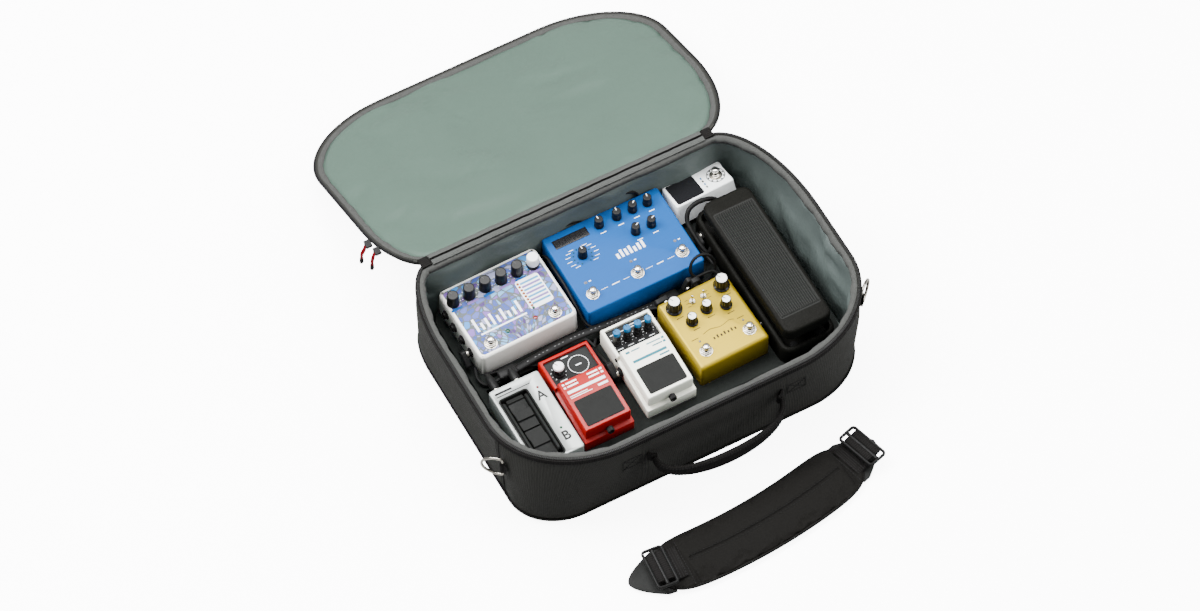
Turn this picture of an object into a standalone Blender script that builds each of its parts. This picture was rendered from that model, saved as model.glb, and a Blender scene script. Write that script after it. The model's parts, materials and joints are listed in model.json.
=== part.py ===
"""A pedalboard in a soft zip case: deck, eight pedals, patch cable and a detached shoulder strap.

Metres, +Z up. The origin is the centre of the case's footprint on the floor, +X runs along the
case to the right and +Y points to the hinge of the lid. The lid lies open behind the case.
"""

import math

import bmesh
import bpy
from mathutils import Matrix, Vector

GAP = 0.0003

# Soft case
CASE_HALF_X = 0.266
CASE_HALF_Y = 0.183
CASE_HEIGHT = 0.145
CASE_WALL = 0.008
CASE_FLOOR = 0.010
FRONT_CORNER = (0.140, 0.115)
BACK_LEFT_CORNER = (0.046, 0.120)
BACK_RIGHT_CORNER = (0.075, 0.165)
CORNER_STEPS = 9
LID_THICKNESS = 0.020
LID_SKIN = 0.007
LID_BINDING = 0.010
LID_TILT = math.radians(22.0)
LID_INSET = 0.006
HINGE_Y = CASE_HALF_Y + 0.001
HINGE_Z = CASE_HEIGHT + GAP / 2

# Handle on the front wall and rings on the side walls
HANDLE_CENTRE_X = 0.004
HANDLE_HALF_SPAN = 0.092
HANDLE_REACH = 0.036
HANDLE_WEB = 0.028
HANDLE_THICK = 0.006
HANDLE_END_SHARE = 0.35
HANDLE_OFF_WALL = 0.0065
HANDLE_DROOP = math.radians(24)
HANDLE_Z = 0.089
RING_HEIGHT = 0.038
RING_REACH = 0.028
RING_WIRE = 0.0019
RING_TURN = math.radians(42)
RING_Y = -0.108
RING_Z = 0.095
RING_OFF_WALL = 0.0042

# Shoulder strap, lying in front of the case
STRAP_HALF_LENGTH = 0.191
STRAP_WIDTH = 0.084
STRAP_THICK = 0.014
STRAP_BOW = -0.024
STRAP_PLACE = (0.010, -0.295, 0.0)
STRAP_TURN = math.radians(5.0)
BUCKLE_LENGTH = 0.030
BUCKLE_WIDTH = 0.060
BUCKLE_THICK = 0.006

# Deck under the pedals
DECK_HALF_X = 0.230
DECK_FRONT_Y = -0.140
DECK_BACK_Y = 0.168
DECK_TOP = 0.055
DECK_SHEET = 0.004

# Pedals: width, depth, height of the casing, then place on the deck and turn about +Z
REVERB_SIZE = (0.146, 0.121, 0.0385)
REVERB_PLACE = (-0.143, 0.1075)
REVERB_TURN = math.radians(1.1)
MODULATION_SIZE = (0.1715, 0.130, 0.0430)
MODULATION_PLACE = (0.025, 0.1045)
TUNER_SIZE = (0.0930, 0.0470, 0.0330)
TUNER_PLACE = (0.1620, 0.1450)
TUNER_TURN = math.radians(2.0)
TUNER_TILT = math.radians(-10.0)
DRIVE_SIZE = (0.102, 0.1143, 0.0410)
DRIVE_PLACE = (0.0755, -0.0454)
DRIVE_TURN = math.radians(1.6)
COMPACT_SIZE = (0.0715, 0.129, 0.0340)
DELAY_PLACE = (-0.022, -0.049)
LOOPER_PLACE = (-0.115, -0.053)
FOOTSWITCH_SIZE = (0.0715, 0.129, 0.0380)
FOOTSWITCH_PLACE = (-0.193, -0.0645)
WAH_SIZE = (0.082, 0.250, 0.0300)
WAH_PLACE = (0.175, -0.006)
TREADLE_SIZE = (0.070, 0.228, 0.0090)
TREADLE_BOTTOM = 0.056
WAH_PIVOT_Y = -0.062
WAH_PIVOT_Z = 0.020

# Controls
BUTTON_TRAVEL = 0.0015
BUSHING_HEIGHT = 0.0050
BUSHING_RADIUS = 0.0060
BORE_RADIUS = 0.0042
BORE_DEPTH = 0.0120
NUT_RADIUS = 0.0080
NUT_HEIGHT = 0.0028
TOGGLE_BUSH_HEIGHT = 0.0040
PLATE_FRONT_LIFT = 0.0040


def clear_scene():
    for old in list(bpy.data.objects):
        bpy.data.objects.remove(old, do_unlink=True)


def make_collection(name):
    collection = bpy.data.collections.new(name)
    bpy.context.scene.collection.children.link(collection)
    return collection


def make_material(name, rgb, roughness, metallic=0.0):
    material = bpy.data.materials.new(name)
    material.use_nodes = True
    shader = material.node_tree.nodes["Principled BSDF"]
    shader.inputs["Base Color"].default_value = (*rgb, 1.0)
    shader.inputs["Roughness"].default_value = roughness
    shader.inputs["Metallic"].default_value = metallic
    material.diffuse_color = (*rgb, 1.0)
    return material


clear_scene()
PARTS = make_collection("pedalboard_case")
CUTTERS = make_collection("cutters")

NYLON = make_material("black_nylon", (0.030, 0.030, 0.028), 0.75)
LINING = make_material("grey_lining", (0.28, 0.36, 0.33), 0.70)
WEBBING = make_material("black_webbing", (0.022, 0.022, 0.020), 0.80)
NICKEL = make_material("nickel", (0.70, 0.68, 0.64), 0.22, 1.0)
RED_CORD = make_material("red_cord", (0.45, 0.02, 0.03), 0.60)
BLACK_PLASTIC = make_material("black_plastic", (0.018, 0.018, 0.018), 0.45)
DECK_BLACK = make_material("deck_black", (0.012, 0.012, 0.012), 0.90)
CAST_SILVER = make_material("cast_silver", (0.62, 0.66, 0.70), 0.35, 0.7)
BLUE_METAL = make_material("blue_anodised", (0.0, 0.26, 0.74), 0.32, 0.6)
GOLD_METAL = make_material("gold_anodised", (0.60, 0.47, 0.10), 0.34, 0.8)
WHITE_PAINT = make_material("white_paint", (0.80, 0.82, 0.84), 0.35)
CREAM_PAINT = make_material("cream_paint", (0.76, 0.74, 0.66), 0.40)
RED_PAINT = make_material("red_paint", (0.70, 0.025, 0.015), 0.35)
SILVER_PAINT = make_material("silver_paint", (0.52, 0.55, 0.55), 0.38, 0.4)
CRINKLE_BLACK = make_material("crinkle_black", (0.020, 0.021, 0.020), 0.65)
RIBBED_RUBBER = make_material("ribbed_rubber", (0.028, 0.029, 0.028), 0.75)
KNOB_BLACK = make_material("knob_black", (0.012, 0.012, 0.012), 0.35)
CHROME = make_material("chrome", (0.82, 0.82, 0.80), 0.12, 1.0)
CABLE_BLACK = make_material("cable_black", (0.015, 0.015, 0.015), 0.55)


def place(obj, location=(0.0, 0.0, 0.0), rotation=(0.0, 0.0, 0.0), parent=None):
    obj.location = location
    obj.rotation_euler = rotation
    if parent is not None:
        obj.parent = parent
    return obj


def add_part(name, bm, material, smooth_angle=None):
    """One named part from a bmesh, in the parts collection."""
    mesh = bpy.data.meshes.new(name)
    bm.to_mesh(mesh)
    bm.free()
    mesh.materials.append(material)
    if smooth_angle is not None:
        mesh.shade_smooth()
        mesh.set_sharp_from_angle(angle=math.radians(smooth_angle))
    obj = bpy.data.objects.new(name, mesh)
    PARTS.objects.link(obj)
    return obj


def add_helper(name, bm, parent):
    """A solid that only joins or cuts another part."""
    mesh = bpy.data.meshes.new(name)
    bm.to_mesh(mesh)
    bm.free()
    obj = bpy.data.objects.new(name, mesh)
    obj.hide_render = True
    obj.display_type = "WIRE"
    obj.parent = parent
    CUTTERS.objects.link(obj)
    return obj


def add_empty(name, location, rotation=(0.0, 0.0, 0.0), parent=None):
    empty = bpy.data.objects.new(name, None)
    PARTS.objects.link(empty)
    return place(empty, location, rotation, parent)


def boolean(obj, helper, operation):
    modifier = obj.modifiers.new(operation.lower(), "BOOLEAN")
    modifier.object = helper
    modifier.operation = operation
    modifier.solver = "EXACT"
    modifier.use_self = operation == "UNION"


def add_cube(bm, size, centre):
    matrix = Matrix.Translation(centre) @ Matrix.Diagonal((*size, 1.0))
    return bmesh.ops.create_cube(bm, size=1.0, matrix=matrix)["verts"]


def add_cylinder(bm, radius, low, high, segments=16, top_radius=None):
    """A cylinder or cone between two points."""
    axis = Vector(high) - Vector(low)
    turn = Vector((0.0, 0.0, 1.0)).rotation_difference(axis).to_matrix().to_4x4()
    middle = Matrix.Translation((Vector(low) + Vector(high)) / 2)
    bmesh.ops.create_cone(
        bm,
        cap_ends=True,
        segments=segments,
        radius1=radius,
        radius2=radius if top_radius is None else top_radius,
        depth=axis.length,
        matrix=middle @ turn,
    )


def loft(rings):
    """A closed solid through rings of the same number of points, capped at both ends."""
    bm = bmesh.new()
    rows = [[bm.verts.new(point) for point in ring] for ring in rings]
    count = len(rows[0])
    for lower, upper in zip(rows, rows[1:]):
        for i in range(count):
            j = (i + 1) % count
            bm.faces.new((lower[i], lower[j], upper[j], upper[i]))
    bm.faces.new(list(reversed(rows[0])))
    bm.faces.new(rows[-1])
    bmesh.ops.recalc_face_normals(bm, faces=bm.faces)
    return bm


def ellipse_corner(centre, radii, start_degrees, steps):
    points = []
    for i in range(steps + 1):
        angle = math.radians(start_degrees + 90.0 * i / steps)
        x = centre[0] + radii[0] * math.cos(angle)
        y = centre[1] + radii[1] * math.sin(angle)
        points.append((x, y))
    return points


def outline(left_x, right_x, front_y, back_y, radii, steps=CORNER_STEPS):
    """A closed plan outline, counter-clockwise from the right side.

    Its elliptical corners are given in the order back right, back left, front left, front right.
    """
    signs = ((1.0, 1.0), (-1.0, 1.0), (-1.0, -1.0), (1.0, -1.0))
    points = []
    for turn, ((sign_x, sign_y), (rx, ry)) in enumerate(zip(signs, radii)):
        edge_x = right_x if sign_x > 0 else left_x
        edge_y = back_y if sign_y > 0 else front_y
        centre = (edge_x - sign_x * rx, edge_y - sign_y * ry)
        points += ellipse_corner(centre, (rx, ry), 90 * turn, steps)
    return points


# Height, inset of the left, right, front and back walls, then the share of the rim's corner size
# that the corners have there, with the front right corner apart
CASE_LEVELS = (
    (0.0, 0.018, 0.024, 0.020, 0.012, 0.52, 0.64),
    (0.004, 0.010, 0.016, 0.012, 0.006, 0.54, 0.68),
    (0.014, 0.007, 0.013, 0.009, 0.004, 0.56, 0.72),
    (0.055, 0.005, 0.009, 0.006, 0.003, 0.62, 0.78),
    (0.100, 0.002, 0.003, 0.003, 0.001, 0.80, 0.90),
    (CASE_HEIGHT, 0.0, 0.0, 0.0, 0.0, 1.0, 1.0),
)


def case_ring(level, wall=0.0):
    """The case's outline at one level, or the lining's when a wall thickness is given."""
    z, left, right, front, back, share, right_share = level
    radii = []
    for corner, part in (
        (BACK_RIGHT_CORNER, share),
        (BACK_LEFT_CORNER, share),
        (FRONT_CORNER, share),
        (FRONT_CORNER, right_share),
    ):
        radii.append([(radius - wall) * part for radius in corner])
    flat = outline(
        -CASE_HALF_X + left + wall,
        CASE_HALF_X - right - wall,
        -CASE_HALF_Y + front + wall,
        CASE_HALF_Y - back - wall,
        radii,
    )
    return [(x, y, max(z, CASE_FLOOR) if wall else z) for x, y in flat]


def build_case_base():
    outer = [case_ring(level) for level in CASE_LEVELS]
    inner = [case_ring(level, CASE_WALL) for level in reversed(CASE_LEVELS[2:])]
    add_part("case_base", loft(outer + inner), NYLON, smooth_angle=40)


def lid_ring(z, inset):
    """One outline of the lid in its closed place, relative to the hinge line."""
    share = (CASE_HALF_Y - inset) / CASE_HALF_Y
    level = (z, inset + LID_INSET, inset + LID_INSET, inset + LID_INSET, inset, share, share)
    return [(x, y - HINGE_Y, height) for x, y, height in case_ring(level)]


def build_case_lid():
    """The lid is built closed over the case, then swung open about the hinge line."""
    rings = [
        lid_ring(LID_THICKNESS - LID_SKIN, LID_BINDING + 0.006),
        lid_ring(0.006, LID_BINDING + 0.001),
        lid_ring(GAP / 2, LID_BINDING),
        lid_ring(GAP / 2, 0.0),
        lid_ring(0.008, 0.004),
        lid_ring(0.016, 0.011),
        lid_ring(LID_THICKNESS, 0.026),
    ]
    lid = add_part("case_lid", loft(rings), LINING, smooth_angle=40)
    place(lid, (0.0, HINGE_Y, HINGE_Z), (-math.pi - LID_TILT, 0.0, 0.0))


def between_levels(z):
    """The levels below and above a height, and how far the height lies between them."""
    for lower, upper in zip(CASE_LEVELS, CASE_LEVELS[1:]):
        if z <= upper[0]:
            break
    return lower, upper, (z - lower[0]) / (upper[0] - lower[0])


def wall_point(z, axis, sign, across):
    """How far the case's outer face stands out along X (axis 0) or Y (axis 1) at one place."""
    found = []
    lower, upper, share = between_levels(z)
    for level in (lower, upper):
        ring = [(sign * point[axis], point[1 - axis]) for point in case_ring(level)]
        hits = []
        for (a, at_a), (b, at_b) in zip(ring, ring[1:] + ring[:1]):
            if (at_a - across) * (at_b - across) <= 0 and at_a != at_b:
                hits.append(a + (b - a) * (across - at_a) / (at_b - at_a))
        found.append(max(hits))
    return sign * (found[0] + share * (found[1] - found[0]))


def build_carry_handle():
    """A band of webbing that arches out from the front wall and droops a little."""
    steps = 20
    rings = []
    for i in range(steps + 1):
        angle = math.pi * i / steps
        direction = Vector((-math.cos(angle), -math.sin(angle), 0.0))
        centre = Vector((-HANDLE_HALF_SPAN * math.cos(angle), -HANDLE_REACH * math.sin(angle) ** 0.8, 0.0))
        across = direction * HANDLE_THICK / 2
        web_share = HANDLE_END_SHARE + (1.0 - HANDLE_END_SHARE) * math.sin(angle) ** 0.7
        up = Vector((0.0, 0.0, HANDLE_WEB / 2 * web_share))
        rings.append([centre - across - up, centre + across - up, centre + across + up, centre - across + up])
    handle = add_part("carry_handle", loft(rings), WEBBING)
    wall = wall_point(HANDLE_Z, 1, -1.0, HANDLE_CENTRE_X)
    place(handle, (HANDLE_CENTRE_X, wall - HANDLE_OFF_WALL, HANDLE_Z), (HANDLE_DROOP, 0.0, 0.0))


def build_d_ring(name, side):
    """A bent wire ring in the shape of a D, its straight bar upright along the wall."""
    points = [(0.0, 0.0, -RING_HEIGHT / 2), (0.0, 0.0, RING_HEIGHT / 2)]
    steps = 12
    for i in range(1, steps):
        angle = math.pi / 2 - math.pi * i / steps
        points.append((side * RING_REACH * math.cos(angle), 0.0, RING_HEIGHT / 2 * math.sin(angle)))
    curve = bpy.data.curves.new(name, "CURVE")
    curve.dimensions = "3D"
    curve.bevel_depth = RING_WIRE
    curve.bevel_resolution = 1
    spline = curve.splines.new("POLY")
    spline.points.add(len(points) - 1)
    for point, co in zip(spline.points, points):
        point.co = (*co, 1.0)
    spline.use_cyclic_u = True
    curve.materials.append(NICKEL)
    ring = bpy.data.objects.new(name, curve)
    PARTS.objects.link(ring)
    x = wall_point(RING_Z, 0, side, RING_Y) + side * RING_OFF_WALL
    place(ring, (x, RING_Y, RING_Z), (0.0, 0.0, side * RING_TURN))


def build_zip_pull(name, hinge_distance, lean):
    """A slider on the lid's zip with a cord pull that hangs from the edge."""
    along = Vector((0.0, math.cos(LID_TILT), -math.sin(LID_TILT)))
    edge_share = (BACK_LEFT_CORNER[1] - hinge_distance) / BACK_LEFT_CORNER[1]
    edge_x = -CASE_HALF_X + LID_INSET + BACK_LEFT_CORNER[0] * (1.0 - math.sqrt(1.0 - edge_share**2))
    edge = Vector((0.0, HINGE_Y, HINGE_Z)) + along * hinge_distance
    bm = bmesh.new()
    add_cube(bm, (0.008, 0.012, 0.005), (-0.0045, 0.0, 0.0))
    add_cylinder(bm, 0.0016, (-0.0075, 0.0, 0.001), (-0.012 - lean, 0.002, -0.034), segments=8)
    slider = add_part(name, bm, RED_CORD)
    helper_bm = bmesh.new()
    tag_top = (-0.0108 - lean * 0.8, 0.0015, -0.025)
    add_cylinder(helper_bm, 0.0030, tag_top, (-0.0127 - lean, 0.002, -0.041), segments=8)
    place(slider, (edge_x - 0.0015, edge.y, edge.z - 0.004))
    tag = add_helper(name + "_tag", helper_bm, slider)
    boolean(slider, tag, "UNION")


def strap_centre_y(x):
    """The bowed centre line of the strap."""
    return -STRAP_BOW * (x / STRAP_HALF_LENGTH) ** 2


def build_strap():
    """The padded strap is one flat, bowed outline with rounded tips, lying on the floor."""
    root = add_empty("strap_place", STRAP_PLACE, (0.0, 0.0, STRAP_TURN))
    steps = 24
    rings = []
    for i in range(steps + 1):
        share = -1.0 + 2.0 * i / steps
        x = STRAP_HALF_LENGTH * share
        taper = max(0.16, math.sqrt(max(0.0, 1.0 - abs(share) ** 7)))
        half = STRAP_WIDTH / 2 * taper
        y = strap_centre_y(x)
        low = GAP
        high = low + STRAP_THICK * (0.45 + 0.55 * taper)
        rings.append([(x, y - half, low), (x, y + half, low), (x, y + half, high), (x, y - half, high)])
    strap = add_part("strap_pad", loft(rings), WEBBING)
    place(strap, parent=root)
    for name, side, share in (("strap_buckle_left", -1.0, 0.70), ("strap_buckle_right", 1.0, 0.80)):
        bm = bmesh.new()
        add_cube(bm, (BUCKLE_LENGTH, BUCKLE_WIDTH, BUCKLE_THICK), (side * BUCKLE_LENGTH / 2, 0.0, BUCKLE_THICK / 2))
        buckle = add_part(name, bm, BLACK_PLASTIC)
        slots = bmesh.new()
        for place_x in (0.3, 0.7):
            add_cube(
                slots,
                (BUCKLE_LENGTH * 0.24, BUCKLE_WIDTH - 0.012, BUCKLE_THICK * 2),
                (side * BUCKLE_LENGTH * place_x, 0.0, BUCKLE_THICK / 2),
            )
        x = side * STRAP_HALF_LENGTH * share
        lean = side * math.atan(-2.0 * STRAP_BOW * share / STRAP_HALF_LENGTH)
        place(buckle, (x, strap_centre_y(x), STRAP_THICK + 3 * GAP), (0.0, 0.0, lean), root)
        boolean(buckle, add_helper(name + "_slots", slots, buckle), "DIFFERENCE")


def tuner_lift():
    """How far the tuner's middle stands above the deck because of its tilt."""
    return TUNER_SIZE[1] / 2 * math.sin(-TUNER_TILT)


def build_board_deck():
    """A shallow tray, open below, that stands on the case's floor; a wedge carries the tuner."""
    bottom = CASE_FLOOR + 0.004 + GAP
    corners = (0.060, 0.030, 0.045, 0.045)
    flat = outline(-DECK_HALF_X, DECK_HALF_X, DECK_FRONT_Y, DECK_BACK_Y, [(r, r) for r in corners], 5)
    inner = outline(
        -DECK_HALF_X + DECK_SHEET,
        DECK_HALF_X - DECK_SHEET,
        DECK_FRONT_Y + DECK_SHEET,
        DECK_BACK_Y - DECK_SHEET,
        [(r - DECK_SHEET, r - DECK_SHEET) for r in corners],
        5,
    )
    rings = [
        [(x, y, DECK_TOP - DECK_SHEET) for x, y in inner],
        [(x, y, bottom) for x, y in inner],
        [(x, y, bottom) for x, y in flat],
        [(x, y, DECK_TOP) for x, y in flat],
    ]
    deck = add_part("board_deck", loft(rings), DECK_BLACK)
    half_x = TUNER_SIZE[0] / 2 - 0.006
    half_y = TUNER_SIZE[1] / 2 - 0.004
    bm = bmesh.new()
    for vert in add_cube(bm, (2 * half_x, 2 * half_y, DECK_SHEET), (0.0, 0.0, 0.0)):
        if vert.co.z > 0:
            vert.co.z = tuner_lift() + vert.co.y * math.tan(TUNER_TILT) - GAP
    wedge = add_helper("tuner_wedge", bm, None)
    place(wedge, (*TUNER_PLACE, DECK_TOP), (0.0, 0.0, TUNER_TURN))
    boolean(deck, wedge, "UNION")


def rounded_box(size, corner, edge, taper=0.0):
    """A box standing on z = 0 with rounded upright corners and a soft top edge."""
    half_x = size[0] / 2
    half_y = size[1] / 2

    def ring(z, inset):
        radius = max(corner - inset, 0.0008)
        x = half_x - inset
        y = half_y - inset
        flat = outline(-x, x, -y, y, [(radius, radius)] * 4, 3)
        return [(x, y, z) for x, y in flat]

    rings = [ring(GAP, 0.0), ring(size[2] - edge, taper)]
    for angle in (math.pi / 4, math.pi / 2):
        rise = edge * math.sin(angle)
        inset = taper + edge * (1.0 - math.cos(angle))
        rings.append(ring(size[2] - edge + rise, inset))
    return loft(rings)


def add_jacks(bm, side_x, places, height, radius=0.0055, length=0.004):
    """Jack bushings that stand out of a side wall."""
    direction = 1.0 if side_x > 0 else -1.0
    for y in places:
        low = (side_x - direction * 0.002, y, height)
        high = (side_x + direction * length, y, height)
        add_cylinder(bm, radius, low, high, segments=12)


def add_switch_fittings(joined, cut, places, top):
    """The nut and bushing of each footswitch, and the bore for its button."""
    for x, y in places:
        add_cylinder(joined, NUT_RADIUS, (x, y, top - 0.001), (x, y, top + NUT_HEIGHT), segments=6)
        add_cylinder(joined, BUSHING_RADIUS, (x, y, top - 0.0015), (x, y, top + BUSHING_HEIGHT), segments=16)
        add_cylinder(cut, BORE_RADIUS, (x, y, top - BORE_DEPTH), (x, y, top + 0.010), segments=16)


def turned(name, profile, material, steps=16):
    """A turned part: the profile runs from the top of the axis down its outer side to the bottom."""
    mesh = bpy.data.meshes.new(name)
    edges = [(i, i + 1) for i in range(len(profile) - 1)]
    mesh.from_pydata([(radius, 0.0, z) for radius, z in profile], edges, [])
    mesh.materials.append(material)
    obj = bpy.data.objects.new(name, mesh)
    PARTS.objects.link(obj)
    screw = obj.modifiers.new("turn", "SCREW")
    screw.axis = "Z"
    screw.steps = steps
    screw.render_steps = steps
    screw.use_merge_vertices = True
    screw.merge_threshold = 0.00001
    screw.use_smooth_shade = True
    return obj


def build_button(name, place_xy, top, parent):
    """A footswitch button: a head above the bushing and a stem in its bore."""
    head = 0.0050
    stem = BORE_RADIUS - 0.0006
    low = BUSHING_HEIGHT + BUTTON_TRAVEL + 0.0006
    profile = (
        (0.0, low + 0.0056),
        (head - 0.0012, low + 0.0054),
        (head, low + 0.0042),
        (head, low),
        (stem, low),
        (stem, -0.0070),
        (0.0, -0.0070),
    )
    button = turned(name, profile, CHROME, steps=14)
    place(button, (*place_xy, top), parent=parent)


def build_knob(name, place_xy, top, parent, radius, height, skirt=1.0, steps=14, material=KNOB_BLACK):
    """A turned knob with a wider skirt, standing just above the panel."""
    profile = (
        (0.0, height),
        (radius * 0.80, height),
        (radius * 0.88, height - 0.0008),
        (radius * 0.94, 0.0035),
        (radius * skirt, 0.0025),
        (radius * skirt, 0.0),
        (0.0, 0.0),
    )
    knob = turned(name, profile, material, steps=steps)
    place(knob, (*place_xy, top + GAP), parent=parent)


def finish_casing(name, bm, material, root, joined, cut=None):
    casing = add_part(name, bm, material, smooth_angle=35)
    place(casing, parent=root)
    boolean(casing, add_helper(name + "_fittings", joined, root), "UNION")
    if cut is not None:
        boolean(casing, add_helper(name + "_bores", cut, root), "DIFFERENCE")


def pedal_root(name, place_xy, turn=0.0):
    return add_empty(name + "_place", (*place_xy, DECK_TOP), (0.0, 0.0, turn))


def build_reverb():
    root = pedal_root("reverb", REVERB_PLACE, REVERB_TURN)
    top = REVERB_SIZE[2]
    switches = ((-0.0487, -0.0432), (0.0463, -0.0432))
    joined = bmesh.new()
    cut = bmesh.new()
    add_switch_fittings(joined, cut, switches, top)
    add_jacks(joined, -REVERB_SIZE[0] / 2, (0.012, 0.034), 0.020)
    finish_casing("reverb_casing", rounded_box(REVERB_SIZE, 0.007, 0.0030, 0.0012), CAST_SILVER, root, joined, cut)
    for i in range(6):
        spot = (-0.0615 + 0.0236 * i, 0.0343)
        build_knob(f"reverb_knob_{i + 1}", spot, top, root, 0.0085, 0.0200)
    for i, spot in enumerate(switches):
        build_button(f"reverb_button_{i + 1}", spot, top, root)


def build_modulation():
    root = pedal_root("modulation", MODULATION_PLACE)
    top = MODULATION_SIZE[2]
    switches = ((-0.0664, -0.0410), (0.0, -0.0405), (0.0662, -0.0400))
    joined = bmesh.new()
    cut = bmesh.new()
    add_switch_fittings(joined, cut, switches, top)
    for x in (-0.066, -0.044, -0.010, 0.012, 0.048, 0.070):
        add_cylinder(joined, 0.0055, (x, 0.063, 0.024), (x, 0.0675, 0.024), segments=12)
    finish_casing("modulation_casing", rounded_box(MODULATION_SIZE, 0.003, 0.0030), BLUE_METAL, root, joined, cut)
    knobs = (
        (-0.0502, 0.0170),
        (-0.0093, 0.0480),
        (0.0170, 0.0480),
        (0.0405, 0.0480),
        (0.0625, 0.0480),
        (0.0277, 0.0160),
        (0.0510, 0.0160),
    )
    for i, spot in enumerate(knobs):
        build_knob(f"modulation_knob_{i + 1}", spot, top, root, 0.0066, 0.0155)
    for i, spot in enumerate(switches):
        build_button(f"modulation_button_{i + 1}", spot, top, root)


def build_tuner():
    base = (*TUNER_PLACE, DECK_TOP + tuner_lift() + GAP)
    root = add_empty("tuner_place", base, (TUNER_TILT, 0.0, TUNER_TURN))
    top = TUNER_SIZE[2]
    spot = (0.0275, 0.0)
    joined = bmesh.new()
    cut = bmesh.new()
    add_switch_fittings(joined, cut, (spot,), top)
    add_jacks(joined, -TUNER_SIZE[0] / 2, (0.0,), 0.015, length=0.002)
    finish_casing("tuner_casing", rounded_box(TUNER_SIZE, 0.003, 0.0015, 0.0030), WHITE_PAINT, root, joined, cut)
    build_button("tuner_button", spot, top, root)


def build_drive():
    root = pedal_root("drive", DRIVE_PLACE, DRIVE_TURN)
    top = DRIVE_SIZE[2]
    switches = ((-0.0310, -0.0354), (0.0338, -0.0354))
    toggles = ((-0.0085, 0.0380), (0.0080, 0.0380))
    joined = bmesh.new()
    cut = bmesh.new()
    add_switch_fittings(joined, cut, switches, top)
    for x, y in toggles:
        add_cylinder(joined, 0.0030, (x, y, top - 0.001), (x, y, top + TOGGLE_BUSH_HEIGHT), segments=10)
    for x in (-0.032, -0.010, 0.014, 0.036):
        add_cylinder(joined, 0.0055, (x, 0.055, 0.022), (x, 0.0615, 0.022), segments=12)
    finish_casing("drive_casing", rounded_box(DRIVE_SIZE, 0.003, 0.0050), GOLD_METAL, root, joined, cut)
    large = ((-0.0345, 0.0400), (0.0365, 0.0400))
    small = ((-0.0245, 0.0115), (0.0015, 0.0190), (0.0265, 0.0115))
    for i, spot in enumerate(large + small):
        radius = 0.0108 if i < len(large) else 0.0080
        height = 0.0190 if i < len(large) else 0.0155
        build_knob(f"drive_knob_{i + 1}", spot, top, root, radius, height, skirt=1.04)
    for i, (x, y) in enumerate(toggles):
        profile = ((0.0, 0.0105), (0.0013, 0.0100), (0.0017, 0.0085), (0.0010, 0.0), (0.0, 0.0))
        lever = turned(f"drive_toggle_{i + 1}", profile, CHROME, steps=10)
        place(lever, (x, y, top + TOGGLE_BUSH_HEIGHT + 0.0005), parent=root)
    for i, spot in enumerate(switches):
        build_button(f"drive_button_{i + 1}", spot, top, root)


def extruded_profile(profile, half_width):
    """A side profile in Y and Z, drawn out along X."""
    return loft([[(side * half_width, y, z) for y, z in profile] for side in (-1.0, 1.0)])


# Side profiles of the compact pedals, from the front (-Y) along the bottom to the back
COMPACT_HALF_Y = COMPACT_SIZE[1] / 2
PLATE_FRONT = -COMPACT_HALF_Y + 0.0035
PLATE_BACK = 0.0175
PLATE_HALF_X = 0.0322
LEDGE_FRONT = 0.0185
LEDGE_BACK = 0.0290
PANEL_Z = 0.0300
PLATE_TOP_BACK = 0.0470
PLATE_TOP_FRONT = 0.0425


def build_compact(name, place_xy, paint, jacks_left, knobs, knob_radius, knob_height):
    """A compact pedal: wedge casing with a sunk control panel, hinged plate and thumbscrew."""
    root = pedal_root(name, place_xy)
    back_rim = COMPACT_SIZE[2]
    profile = (
        (-COMPACT_HALF_Y, GAP),
        (COMPACT_HALF_Y, GAP),
        (COMPACT_HALF_Y, back_rim - 0.0015),
        (COMPACT_HALF_Y - 0.0015, back_rim),
        (PLATE_BACK + 0.0008, back_rim + 0.0010),
        (PLATE_BACK + 0.0002, LEDGE_BACK),
        (-COMPACT_HALF_Y + 0.0012, LEDGE_FRONT),
        (-COMPACT_HALF_Y, LEDGE_FRONT - 0.0012),
    )
    joined = bmesh.new()
    cut = bmesh.new()
    add_jacks(joined, -COMPACT_SIZE[0] / 2, jacks_left, 0.0160)
    add_jacks(joined, COMPACT_SIZE[0] / 2, jacks_left, 0.0160)
    panel_low = PLATE_BACK - 0.002
    panel_high = COMPACT_HALF_Y - 0.0050
    add_cube(
        cut,
        (2 * PLATE_HALF_X - 0.001, panel_high - panel_low, 0.012),
        (0.0, (panel_high + panel_low) / 2, PANEL_Z + 0.006),
    )
    bm = extruded_profile(profile, COMPACT_SIZE[0] / 2)
    finish_casing(name + "_casing", bm, paint, root, joined, cut)

    lift = PLATE_FRONT_LIFT
    pivot_z = LEDGE_BACK + 0.0040
    plate_profile = (
        (PLATE_FRONT, LEDGE_FRONT + lift),
        (PLATE_BACK - 0.0006, LEDGE_BACK + 0.0008),
        (PLATE_BACK - 0.0006, PLATE_TOP_BACK - 0.0010),
        (PLATE_BACK - 0.0016, PLATE_TOP_BACK),
        (PLATE_FRONT + 0.0010, PLATE_TOP_FRONT),
        (PLATE_FRONT, PLATE_TOP_FRONT - 0.0010),
    )
    moved = [(y - PLATE_BACK, z - pivot_z) for y, z in plate_profile]
    plate = add_part(name + "_plate", extruded_profile(moved, PLATE_HALF_X), paint)
    place(plate, (0.0, PLATE_BACK, pivot_z), parent=root)

    screw_profile = ((0.0, 0.0085), (0.0042, 0.0085), (0.0048, 0.0078), (0.0048, 0.0), (0.0, 0.0))
    screw = turned(name + "_thumbscrew", screw_profile, BLACK_PLASTIC, steps=12)
    screw_z = LEDGE_FRONT + lift + 0.0055
    place(screw, (0.0, PLATE_FRONT - GAP, screw_z), (math.pi / 2, 0.0, 0.0), root)

    for i, spot in enumerate(knobs):
        build_knob(f"{name}_knob_{i + 1}", spot, PANEL_Z, root, knob_radius, knob_height)


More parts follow.
